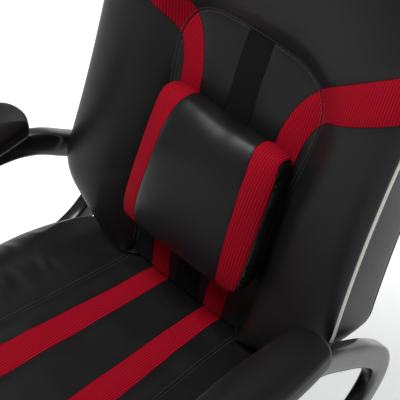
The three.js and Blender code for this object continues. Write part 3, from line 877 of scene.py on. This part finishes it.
def arm_pad(name, hand):
    low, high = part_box(f"arm_pad_{hand}")
    middle = (low + high) / 2
    spine = PAD_LENGTH / 2 - PAD_ROUND
    around, levels = 160, []
    for t in np.linspace(0, 1, 15)[1:]:
        levels.append((0.97 * math.sin(t * math.pi / 2), PAD_THICK - 27 * (1 - math.cos(t * math.pi / 2))))
    levels += [(1.0, PAD_SEAM + 1), (0.975, PAD_SEAM), (0.995, PAD_SEAM - 2), (0.99, 7)]
    levels += [(0.95, 2.5), (0.88, 0.6), (0.5, 0.4), (0.02, 0.4)]
    points = []
    for size, height in levels:
        for k in range(around):
            angle = math.tau * k / around
            c, s = math.cos(angle), math.sin(angle)
            centre_y = spine * np.clip(s * 1.6, -1, 1)
            x = PAD_HALF * size * abs(c) ** 0.9 * np.sign(c)
            y = centre_y * (0.25 + 0.75 * min(size * 1.15, 1)) + PAD_ROUND * size * s
            gather = noise.noise(Vector((c * 5, s * 5, height * 0.05)))
            near_seam = smooth_step(1 - abs(height - PAD_SEAM) / 16)
            gather *= 1.1 * near_seam * smooth_step((abs(s) - 0.3) / 0.4)
            dip = -1.5 * smooth_step(1 - size) if height > PAD_SEAM else 0
            points.append((x + gather * c, y + gather * s, height + dip + 0.4))
    faces = band_faces(len(levels), around, flip=True)
    last = (len(levels) - 1) * around
    for start, height in ((0, PAD_THICK), (last, 0.8)):
        points.append((0, 0, height - 1))
        for k in range(around):
            faces.append((len(points) - 1, start + k, start + (k + 1) % around))
    base = Vector((middle.x, middle.y, low.z))
    piece = piece_of(name, [tuple(Vector(p) * MM + base) for p in points], faces)
    outward(piece)
    finer = piece.modifiers.new("finer", "SUBSURF")
    finer.levels = finer.render_levels = 1
    bake(piece)
    return piece


for hand in ("left", "right"):
    pad = arm_pad(f"armrest_pad_{hand}", hand)
    pad.data.materials.append(plain_fabric)
    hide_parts(f"arm_pad_{hand}")
    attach(pad, "seat")

# ---- Stitching ----
# Black polyester thread, 4.4 mm to a stitch, runs in a pair of rows beside each main seam.
# Each stitch is a short bead laid along the seam on the fabric's surface.
STITCH_PITCH, STITCH_LENGTH, STITCH_RADIUS, STITCH_GAP = 4.4, 3.2, 0.42, 2.6


def node_tree(name, **inputs):
    """An empty geometry tree with a geometry input and output and named size inputs."""
    tree = bpy.data.node_groups.new(name, "GeometryNodeTree")
    tree.interface.new_socket("Geometry", in_out="INPUT", socket_type="NodeSocketGeometry")
    for key, kind in inputs.items():
        tree.interface.new_socket(key, in_out="INPUT", socket_type=kind)
    tree.interface.new_socket("Geometry", in_out="OUTPUT", socket_type="NodeSocketGeometry")
    return tree, tree.nodes.new("NodeGroupInput"), tree.nodes.new("NodeGroupOutput")


def chain(tree, *links):
    for (source, out_key), (target, in_key) in links:
        tree.links.new(source.outputs[out_key], target.inputs[in_key])


def turned_to(tree, points, shape, heading, axis):
    """Puts a shape on every point, its axis turned to a heading, as real geometry."""
    align = tree.nodes.new("FunctionNodeAlignRotationToVector")
    align.axis = axis
    place = tree.nodes.new("GeometryNodeInstanceOnPoints")
    real = tree.nodes.new("GeometryNodeRealizeInstances")
    tree.links.new(heading, align.inputs["Vector"])
    tree.links.new(points, place.inputs["Points"])
    tree.links.new(shape, place.inputs["Instance"])
    tree.links.new(align.outputs[0], place.inputs["Rotation"])
    tree.links.new(place.outputs["Instances"], real.inputs["Geometry"])
    return real.outputs["Geometry"]


def painted(tree, geometry, material):
    paint = tree.nodes.new("GeometryNodeSetMaterial")
    tree.links.new(geometry, paint.inputs["Geometry"])
    tree.links.new(material, paint.inputs["Material"])
    return paint.outputs["Geometry"]


def stitch_tree():
    tree, given, result = node_tree(
        "stitch row", Pitch="NodeSocketFloat", Length="NodeSocketFloat",
        Radius="NodeSocketFloat", Thread="NodeSocketMaterial",
    )
    even = tree.nodes.new("GeometryNodeResampleCurve")
    even.mode = "LENGTH"
    bead = tree.nodes.new("GeometryNodeMeshUVSphere")
    bead.inputs["Segments"].default_value = 6
    bead.inputs["Rings"].default_value = 4
    long_bead = tree.nodes.new("GeometryNodeTransform")
    stretch = tree.nodes.new("ShaderNodeCombineXYZ")
    half = tree.nodes.new("ShaderNodeMath")
    half.operation = "DIVIDE"
    scale = tree.nodes.new("ShaderNodeMath")
    scale.operation = "MULTIPLY"
    scale.inputs[1].default_value = 0.5
    tangent = tree.nodes.new("GeometryNodeInputTangent")
    stretch.inputs[1].default_value = stretch.inputs[2].default_value = 1
    chain(
        tree,
        ((given, "Geometry"), (even, "Curve")), ((given, "Pitch"), (even, "Length")),
        ((given, "Radius"), (bead, "Radius")), ((given, "Length"), (scale, 0)),
        ((scale, 0), (half, 0)), ((given, "Radius"), (half, 1)), ((half, 0), (stretch, 0)),
        ((bead, "Mesh"), (long_bead, "Geometry")), ((stretch, 0), (long_bead, "Scale")),
    )
    row = turned_to(
        tree, even.outputs["Curve"], long_bead.outputs["Geometry"], tangent.outputs[0], "X",
    )
    tree.links.new(painted(tree, row, given.outputs["Thread"]), result.inputs["Geometry"])
    return tree


def thread():
    material, _ = new_material("black thread")
    strand = texture(material, "Noise", Scale=2400.0).outputs["Fac"]
    colour = blend_of(material, "RGBA", strand, (0.02, 0.02, 0.022, 1), (0.06, 0.06, 0.062, 1))
    return surface(material, colour, 0.5)


def curve_of(name, runs):
    """A curve object of one straight-pointed run for each row of points, in metres."""
    data = bpy.data.curves.new(name, "CURVE")
    data.dimensions = "3D"
    for run in runs:
        spline = data.splines.new("POLY")
        spline.points.add(len(run) - 1)
        spline.points.foreach_set("co", np.c_[run, np.ones(len(run))].ravel())
    return linked(name, data)


def beside(line, gap):
    """The line moved sideways by a gap in its own plane."""
    ahead = np.gradient(line, axis=0)
    ahead /= np.maximum(np.linalg.norm(ahead, axis=1, keepdims=True), 1e-9)
    return line + gap * np.stack([-ahead[:, 1], ahead[:, 0]], -1)


def evaluated_mesh(piece, tree, **values):
    """Runs a tree on a piece and gives back its result as a plain mesh piece."""
    modifier = piece.modifiers.new(tree.name, "NODES")
    modifier.node_group = tree
    for item in tree.interface.items_tree:
        if item.item_type == "SOCKET" and item.in_out == "INPUT" and item.name in values:
            modifier[item.identifier] = values[item.name]
    graph = bpy.context.evaluated_depsgraph_get()
    mesh = bpy.data.meshes.new_from_object(piece.evaluated_get(graph))
    name = piece.name
    bpy.data.objects.remove(piece)
    return linked(name, mesh)


def stitched(name, runs):
    rows = evaluated_mesh(
        curve_of(name, runs), stitches, Pitch=STITCH_PITCH * MM, Length=STITCH_LENGTH * MM,
        Radius=STITCH_RADIUS * MM, Thread=black_thread,
    )
    rows.data.shade_smooth()
    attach(rows, "seat")


stitches, black_thread = stitch_tree(), thread()
fine_arch = smooth_through(ARCH[ARCH[:, 1] > 5], steps=3)
back_rows, seat_rows = [], []
for gap in (-STITCH_GAP, STITCH_GAP):
    line = beside(fine_arch, gap)
    line = line[line[:, 0] > 0.5]
    whole = np.concatenate([line, line[::-1] * (-1, 1)])
    back_rows.append(on_back(whole[:, 0], whole[:, 1], back_height(whole[:, 0], whole[:, 1]) + 0.1))
    line = beside(SEAT_SEAM, gap)
    line = line[(line[:, 1] > SEAT_FRONT + 55) & (line[:, 1] < -6)]
    for side in (-1, 1):
        x = side * line[:, 0]
        seat_rows.append(on_seat(x, line[:, 1], seat_height(x, line[:, 1]) + 0.1))
stitched("backrest_stitching", back_rows)
stitched("seat_stitching", seat_rows)

# ---- Base ----
# One moulding in black glass-filled nylon: a hub round the column and five arms of inverted-U
# section that thin towards their casters, stiffened underneath by cross ribs and one rib
# along the middle.
LEGS, STEM_CIRCLE = 5, 290
column_low, column_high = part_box("column_tube")
COLUMN = Vector(((column_low.x + column_high.x) / 2, (column_low.y + column_high.y) / 2, 0))


def textured_nylon(name, shade=0.011, roughness=0.5):
    material, _ = new_material(name)
    spark = texture(material, "Noise", Scale=900.0, Detail=3.0).outputs["Fac"]
    scuff = texture(material, "Noise", Scale=16.0, Detail=5.0).outputs["Fac"]
    pale = (shade * 1.7, shade * 1.7, shade * 1.75, 1)
    colour = blend_of(material, "RGBA", scuff, (shade, shade, shade * 1.05, 1), pale)
    rough = maths(material, "MULTIPLY_ADD", scuff, 0.2, roughness - 0.1)
    return surface(material, colour, rough, spark, strength=0.25, depth=0.3)


def soften(profile, radius, steps=4, closed=True):
    """Rounds a profile's corners with short arcs."""
    points = np.array(profile, float)
    out = []
    for k, point in enumerate(points):
        if not closed and k in (0, len(points) - 1) or point[0] < 1e-6:
            out.append(point)
            continue
        before, after = points[k - 1] - point, points[(k + 1) % len(points)] - point
        a, b = np.linalg.norm(before), np.linalg.norm(after)
        cut_back = min(radius, 0.45 * a, 0.45 * b)
        start, end = point + before / a * cut_back, point + after / b * cut_back
        for t in np.linspace(0, 1, steps):
            out.append((1 - t) ** 2 * start + 2 * t * (1 - t) * point + t * t * end)
    return out


def skin(shape, rings, closed=False, flip=False):
    """Adds faces between neighbouring rings of a bmesh's points."""
    pairs = list(zip(rings, rings[1:])) + ([(rings[-1], rings[0])] if closed else [])
    for lower, upper in pairs:
        for k in range(len(lower)):
            n = (k + 1) % len(lower)
            corners = (lower[k], lower[n], upper[n], upper[k])
            shape.faces.new((corners[0], *reversed(corners[1:])) if flip else corners)


def piece_from(name, shape):
    """A bmesh as a new piece, with its faces turned outwards."""
    mesh = bpy.data.meshes.new(name)
    shape.to_mesh(mesh)
    shape.free()
    piece = linked(name, mesh)
    outward(piece)
    return piece


def turned(name, profile, radius=1.0, segments=80, centre=COLUMN, direction=(0, 0, 1)):
    """A turned piece: its (radius, height) profile, in millimetres, runs round an axis. A
    profile off the axis is a closed ring; one on it starts and ends there."""
    hollow = min(p[0] for p in profile) > 0
    outline = soften(profile, radius, closed=hollow)
    upright = Vector(direction).normalized().to_track_quat("Z", "Y")
    shape = bmesh.new()
    rings = []
    for r, h in outline:
        ring = []
        for k in range(segments):
            angle = math.tau * k / segments
            point = Vector((r * math.cos(angle), r * math.sin(angle), h)) * MM
            ring.append(shape.verts.new(upright @ point + Vector(centre)))
        rings.append(ring)
    skin(shape, rings, closed=hollow)
    bmesh.ops.remove_doubles(shape, verts=shape.verts, dist=1e-6)
    bmesh.ops.dissolve_degenerate(shape, edges=shape.edges, dist=1e-7)
    return piece_from(name, shape)


def joined(name, pieces):
    """Several closed pieces as one object, which has no material yet."""
    shape = bmesh.new()
    for piece in pieces:
        shape.from_mesh(piece.data)
        bpy.data.objects.remove(piece)
    mesh = bpy.data.meshes.new(name)
    shape.to_mesh(mesh)
    shape.free()
    return linked(name, mesh)


LEG_TOP = curve_points((24, 122), (170, 122, 300, 88), (309, 85, 312, 76))
LEG_BOTTOM = curve_points((20, 82), (150, 82, 262, 58), (312, 58))
LEG_START, TIP_START, TIP_LENGTH, CLOSED_FROM = 24, 296, 16, 266
LEG_HALF, LEG_WALL, LEG_ROOF = 26, 4.2, 6


def base_leg(angle):
    """One arm: an inverted-U section carried along it, thinning and closing at its tip."""
    tip_end = TIP_START + TIP_LENGTH
    round_tip = tip_end - TIP_LENGTH * np.cos(np.linspace(0.3, 1.5, 7))
    stations = np.concatenate([np.linspace(LEG_START, TIP_START, 30), round_tip])
    rings = []
    for x in stations:
        top = np.interp(x, LEG_TOP[:, 0], LEG_TOP[:, 1])
        bottom = np.interp(x, LEG_BOTTOM[:, 0], LEG_BOTTOM[:, 1])
        tip = max(0, (x - TIP_START) / TIP_LENGTH)
        half = LEG_HALF * (1 - 0.3 * x / STEM_CIRCLE) * math.sqrt(max(1 - tip**2, 0.02))
        inner_top = top - LEG_ROOF if x < CLOSED_FROM else bottom + 1.5
        inner_half = half - LEG_WALL if half > LEG_WALL + 2 else half * 0.5
        outer = [
            (half + 1.5, bottom), (half + 0.6, (top + bottom) / 2), (half - 1.5, top - 9),
            (half - 4.5, top - 3.6), (half - 10, top - 0.8), (half * 0.3, top + 0.4),
        ]
        inner = [(inner_half * 0.4, inner_top), (inner_half - 2, inner_top - 1), (inner_half, bottom)]
        ring = outer + [(-y, z) for y, z in reversed(outer)]
        ring += [(-y, z) for y, z in reversed(inner)] + inner
        rings.append([(x, y, z) for y, z in ring])
    count = len(rings[0])
    points = [Vector(p) * MM for ring in rings for p in ring]
    faces = band_faces(len(rings), count, flip=True)
    faces += [tuple(range(count)), tuple((len(rings) - 1) * count + k for k in range(count))]
    turn = Matrix.Rotation(angle, 3, "Z")
    piece = piece_of("base_leg", [tuple(turn @ p + COLUMN) for p in points], faces)
    outward(piece)
    return piece


def rib_tree():
    """Thin upright plates at even steps along a curve, square to it."""
    tree, given, result = node_tree(
        "leg ribs", Count="NodeSocketInt", Thickness="NodeSocketFloat",
        Width="NodeSocketFloat", Height="NodeSocketFloat",
    )
    even = tree.nodes.new("GeometryNodeResampleCurve")
    plate = tree.nodes.new("GeometryNodeMeshCube")
    size = tree.nodes.new("ShaderNodeCombineXYZ")
    tangent = tree.nodes.new("GeometryNodeInputTangent")
    chain(
        tree,
        ((given, "Geometry"), (even, "Curve")), ((given, "Count"), (even, "Count")),
        ((given, "Thickness"), (size, 0)), ((given, "Width"), (size, 1)),
        ((given, "Height"), (size, 2)), ((size, 0), (plate, "Size")),
    )
    plates = turned_to(tree, even.outputs["Curve"], plate.outputs["Mesh"], tangent.outputs[0], "X")
    tree.links.new(plates, result.inputs["Geometry"])
    return tree


def spine_rib(ahead):
    """The upright rib along the middle of an arm's underside."""
    sideways = Vector((-ahead.y, ahead.x, 0))
    corners = [
        tuple(COLUMN + (ahead * x + sideways * y) * MM + Vector((0, 0, z * MM)))
        for y in (-1.2, 1.2) for x, z in ((30, 90), (262, 70), (262, 94), (30, 116))
    ]
    faces = [(0, 1, 2, 3), (7, 6, 5, 4), (0, 4, 5, 1), (1, 5, 6, 2), (2, 6, 7, 3), (3, 7, 4, 0)]
    piece = piece_of("spine_rib", corners, faces)
    outward(piece, smooth=False)
    return piece


base_nylon = textured_nylon("base nylon")
ribs = rib_tree()
RIB_COUNT, RIB_THICK, RIB_WIDTH, RIB_HEIGHT = 6, 2.2, 31, 28
HUB_TOP, HUB_BOTTOM, HUB_RADIUS, HUB_BORE = 128, 62, 34, 25.3
parts = [turned("hub", [
    (HUB_BORE, HUB_BOTTOM), (HUB_RADIUS, HUB_BOTTOM), (HUB_RADIUS, 110), (31, HUB_TOP - 2),
    (HUB_BORE, HUB_TOP),
], radius=3)]
for number in range(LEGS):
    angle = math.pi / 2 + number * math.tau / LEGS
    parts.append(base_leg(angle))
    ahead = Vector((math.cos(angle), math.sin(angle), 0))
    rib_line = curve_of("leg_ribs", [[
        np.array(COLUMN + ahead * x * MM + Vector((0, 0, z * MM))) for x, z in ((60, 102), (240, 86))
    ]])
    parts.append(evaluated_mesh(
        rib_line, ribs, Count=RIB_COUNT, Thickness=RIB_THICK * MM, Width=RIB_WIDTH * MM,
        Height=RIB_HEIGHT * MM,
    ))
    parts.append(spine_rib(ahead))
    socket_place = COLUMN + ahead * STEM_CIRCLE * MM
    parts.append(turned("socket", [(5.8, 58), (14, 58), (14, 84), (5.8, 84)], centre=socket_place,
                        segments=32))
base = joined("base_star", parts)
base.data.materials.append(base_nylon)
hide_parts("star_base")
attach(base, "base")

# ---- Dust covers ----
# Three telescoping tubes of thin polypropylene hide the gas lift. Their edges are slightly rounded,
# and the smallest hangs from a cap on the gas spring.
cover_plastic = textured_nylon("cover plastic", shade=0.009, roughness=0.34)
COVER_WALL = 1.5
for name, body, inner in (("lower", "base", 33), ("middle", "cover_middle", 30)):
    low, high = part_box(f"dust_cover_{name}")
    bottom, top = low.z / MM, high.z / MM
    outer = inner + COVER_WALL
    cover = turned(f"cover_tube_{name}", [
        (inner, bottom), (outer, bottom), (outer, top), (inner, top),
    ], radius=0.7)
    cover.data.materials.append(cover_plastic)
    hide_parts(f"dust_cover_{name}")
    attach(cover, body)
low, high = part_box("dust_cover_upper")
bottom, top = low.z / MM, high.z / MM
cover = turned("cover_tube_upper", [
    (27, bottom), (28.5, bottom), (28.5, top - 3), (25, top), (14.8, top), (14.8, top - 2),
    (27, top - 2),
], radius=0.8)
cover.data.materials.append(cover_plastic)
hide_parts("dust_cover_upper")
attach(cover, "lift")

# ---- Gas spring and column ----
# A chromed gas spring slides in a bush in the black steel column, which is pressed into the hub.
def worn_metal(name, colour, roughness, scratch):
    material, shader = new_material(name)
    shader.inputs["Metallic"].default_value = 1
    stretch = add_node(material, "ShaderNodeMapping", Scale=(1, 1, 0.12))
    place = add_node(material, "ShaderNodeTexCoord").outputs["Object"]
    connect(material, place, stretch.inputs["Vector"])
    lines = texture(material, "Noise", stretch.outputs["Vector"], Scale=380.0, Detail=4.0)
    blotch = texture(material, "Noise", Scale=30.0, Detail=3.0)
    rough = maths(material, "MULTIPLY_ADD", lines.outputs["Fac"], scratch, roughness)
    darker = tuple(c * 0.8 for c in colour[:3]) + (1,)
    shade = blend_of(material, "RGBA", blotch.outputs["Fac"], darker, colour)
    return surface(material, shade, rough)


chrome = worn_metal("hard chrome", (0.72, 0.72, 0.74, 1), 0.06, 0.08)
zinc = worn_metal("zinc plate", (0.58, 0.58, 0.56, 1), 0.28, 0.2)
low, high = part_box("gas_spring")
bottom, top = low.z / MM, high.z / MM
spring_tube = turned("gas_spring_tube", [
    (0, 235), (5.6, 235), (5.6, bottom), (14, bottom), (14, 262), (13.2, 305), (4, 305),
    (4, top), (0, top),
], radius=1.2)
spring_tube.data.materials.append(chrome)
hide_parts("gas_spring")
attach(spring_tube, "lift")

# ---- Casters ----
# Twin-wheel nylon casters: a zinc stem in the leg's socket, a moulded hood that arches over
# both wheels with a web between them, and two dished wheels on one axle.
wheel_nylon = textured_nylon("wheel nylon", shade=0.013, roughness=0.42)
WHEEL_RADIUS = 25
joints = {joint["name"]: joint for joint in frame["record"]["behaviour"]["joints"]}


def bent_band(name, section, start, stop, centre, sideways, steps=40):
    """A closed (radius, sideways) section swept round an axle from one angle to another."""
    ahead = Vector(sideways).cross((0, 0, 1)).normalized()
    outline = soften(section, 1.2)
    shape = bmesh.new()
    rings = []
    for angle in np.linspace(math.radians(start), math.radians(stop), steps):
        direction = ahead * math.cos(angle) + Vector((0, 0, 1)) * math.sin(angle)
        rings.append([
            shape.verts.new(centre + (direction * r + Vector(sideways) * y) * MM) for r, y in outline
        ])
    skin(shape, rings, flip=True)
    shape.faces.new(rings[0])
    shape.faces.new(rings[-1])
    return piece_from(name, shape)


for number in range(1, LEGS + 1):
    roll = joints[f"caster_{number}_roll_left"]
    stem = Vector(joints[f"caster_{number}_swivel"]["pos_m"])
    centre = Vector(roll["pos_m"])
    sideways = Vector(roll["axis"])
    ahead = (centre - Vector((stem.x, stem.y, centre.z))).normalized()
    if sideways.cross((0, 0, 1)).dot(ahead) < 0:
        sideways = -sideways
    hood = joined(f"caster_{number}_hood", [
        bent_band("band", [(26.7, -25), (29.4, -25), (29.6, 0), (29.4, 25), (26.7, 25)],
                  24, 196, centre, sideways),
        bent_band("web", [(3.4, -3.4), (27, -3.4), (27, 3.4), (3.4, 3.4)], -20, 205, centre, sideways),
        turned("boss", [(5.8, 50), (10, 50), (10, 56), (5.8, 56)], centre=(stem.x, stem.y, 0),
               segments=32),
    ])
    hood.data.materials.append(cover_plastic)
    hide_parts(f"caster_hood_{number}")
    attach(hood, f"caster_{number}")
    for side, hand in ((1, "left"), (-1, "right")):
        low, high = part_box(f"caster_wheel_{number}_{hand}")
        outwards = (low + high) / 2 - centre
        outwards.z = 0
        wheel = turned(f"caster_{number}_wheel_{hand}", [
            (3.3, 4.3), (22.5, 4.3), (WHEEL_RADIUS, 6.5), (WHEEL_RADIUS, 18), (23, 21.3),
            (19.5, 21.5), (18.5, 19.6), (10, 18.6), (8.5, 19.8), (3.3, 19.6),
        ], radius=1.0, segments=56, centre=centre, direction=outwards)
        wheel.data.materials.append(wheel_nylon)
        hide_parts(f"caster_wheel_{number}_{hand}")
        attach(wheel, f"caster_{number}_wheel_{hand}")

# ---- Tension knob ----
# A fluted nylon knob on a screw under the mechanism.
low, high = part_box("tension_knob")
knob_centre = Vector(((low.x + high.x) / 2, (low.y + high.y) / 2, 0))
FLUTES, FLUTE_DEPTH = 10, 2.2


def fluted_knob():
    shape = bmesh.new()
    profile = [(0, 206), (26, 206), (31, 211), (31, 230), (27, 236), (5, 236), (5, 300), (0, 300)]
    rings = []
    segments = 120
    for r, h in soften(profile, 1.5, closed=False):
        ring = []
        for k in range(segments):
            angle = math.tau * k / segments
            dent = FLUTE_DEPTH * max(0, math.cos(FLUTES * angle)) ** 3 if r > 24 else 0
            reach = (r - dent) * MM
            ring.append(shape.verts.new(
                knob_centre + Vector((reach * math.cos(angle), reach * math.sin(angle), h * MM))
            ))
        rings.append(ring)
    skin(shape, rings)
    return piece_from("tension_knob_fluted", shape)


knob = fluted_knob()
knob.data.materials.append(base_nylon)
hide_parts("tension_knob")
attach(knob, "knob")

# ---- Bolts ----
# Zinc-black button-head bolts with a hexagon socket: they fix each armrest loop to its bracket,
# the brackets and the plate to the seat board, and the cover to the backrest's steel upright.
BOLT_RADIUS = 6.5
LOOP_OUTSIDE, LOOP_BOLT_HEIGHT = 299, 317
BRACKET_UNDERSIDE, PLATE_UNDERSIDE, BACK_COVER_DEPTH = 328.6, 330, 104.1


def bolt_head():
    around = 24
    levels = [(0.9, -0.2, False), (1, 0, False), (1, 0.12, False), (0.86, 0.38, False)]
    levels += [(0.6, 0.52, False), (0.44, 0.53, True), (0.42, 0.16, True)]
    points = []
    for size, height, hexagonal in levels:
        for k in range(around):
            angle = math.tau * k / around
            turn_in = (angle + math.pi / 6) % (math.pi / 3) - math.pi / 6
            reach = size / math.cos(turn_in) * 0.93 if hexagonal else size
            points.append((reach * math.cos(angle), reach * math.sin(angle), height))
    faces = band_faces(len(levels), around)
    last = (len(levels) - 1) * around
    faces.append(tuple(reversed(range(around))))
    faces.append(tuple(range(last, last + around)))
    return piece_of("bolt_head", [tuple(Vector(p) * BOLT_RADIUS * MM) for p in points], faces)


def bolt_tree():
    """One bolt head on every point, turned to the point's heading attribute."""
    tree, given, result = node_tree("bolts", Head="NodeSocketObject", Finish="NodeSocketMaterial")
    head = tree.nodes.new("GeometryNodeObjectInfo")
    heading = tree.nodes.new("GeometryNodeInputNamedAttribute")
    heading.data_type = "FLOAT_VECTOR"
    heading.inputs["Name"].default_value = "heading"
    tree.links.new(given.outputs["Head"], head.inputs["Object"])
    heads = turned_to(
        tree, given.outputs["Geometry"], head.outputs["Geometry"], heading.outputs["Attribute"], "Z",
    )
    tree.links.new(painted(tree, heads, given.outputs["Finish"]), result.inputs["Geometry"])
    return tree


bolt_places = []
for side in (-1, 1):
    for y in (-129, -85):
        bolt_places.append(((side * LOOP_OUTSIDE, y, LOOP_BOLT_HEIGHT), (side, 0, 0)))
    for x, y in ((202, -132), (202, -82), (246, -107)):
        bolt_places.append(((side * x, y, BRACKET_UNDERSIDE), (0, 0, -1)))
    for y in (-202, 18):
        bolt_places.append(((side * 80, y, PLATE_UNDERSIDE), (0, 0, -1)))
for height in (-18, 176):
    place = (JUNCTION + BACK_ALONG * height * MM - BACK_OUT * BACK_COVER_DEPTH * MM) / MM
    bolt_places.append((tuple(place), tuple(-BACK_OUT)))
points = piece_of("bolts", [tuple(Vector(place) * MM) for place, _ in bolt_places], [])
add_attribute(points.data, "heading", [heading for _, heading in bolt_places])
head = bolt_head()
black_zinc = worn_metal("black zinc bolt", (0.05, 0.05, 0.055, 1), 0.38, 0.1)
bolts = evaluated_mesh(points, bolt_tree(), Head=head, Finish=black_zinc)
bpy.data.objects.remove(head)
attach(bolts, "seat")

# ---- Finishes of the pieces kept from the frame ----
# Powder-coated steelwork, zinc-plated pins, raw plywood, black non-woven dust cloth.
black_steel = textured_nylon("black powder coat", shade=0.012, roughness=0.42)


def plywood():
    material, _ = new_material("plywood")
    rings = texture(material, "Wave", Scale=7.0, Distortion=6.0, Detail=3.0).outputs["Fac"]
    colour = blend_of(material, "RGBA", rings, (0.36, 0.21, 0.1, 1), (0.56, 0.38, 0.21, 1))
    return surface(material, colour, 0.75)


def nonwoven():
    material, _ = new_material("dust cloth")
    bond = texture(material, "Voronoi", Scale=500.0).outputs["Distance"]
    colour = blend_of(material, "RGBA", bond, (0.006, 0.006, 0.006, 1), (0.02, 0.02, 0.02, 1))
    return surface(material, colour, 0.95, bond, strength=0.6, depth=0.4)


board, cloth = plywood(), nonwoven()
natural = textured_nylon("natural acetal", shade=0.5, roughness=0.4)
FINISHES = {
    black_steel: ["column_tube", "tilt_housing", "seat_plate", "back_bracket", "arm_bracket_left",
                  "arm_bracket_right", "lever_block", "lever_rod"],
    zinc: ["gas_rod", "rod_clip", "thrust_bearing", "pivot_pin", "tension_spring"]
    + [f"caster_{part}_{n}" for n in range(1, LEGS + 1) for part in ("stem", "axle")],
    base_nylon: ["lever_handle"],
    cover_plastic: ["back_bracket_cover"],
    board: ["seat_board", "back_board"],
    cloth: ["seat_dust_cloth", "lumbar_loop_patch"],
    natural: ["column_bush"],
}
for material, nodes in FINISHES.items():
    for node in nodes:
        for slot in frame["nodes"][node].material_slots:
            slot.material = material
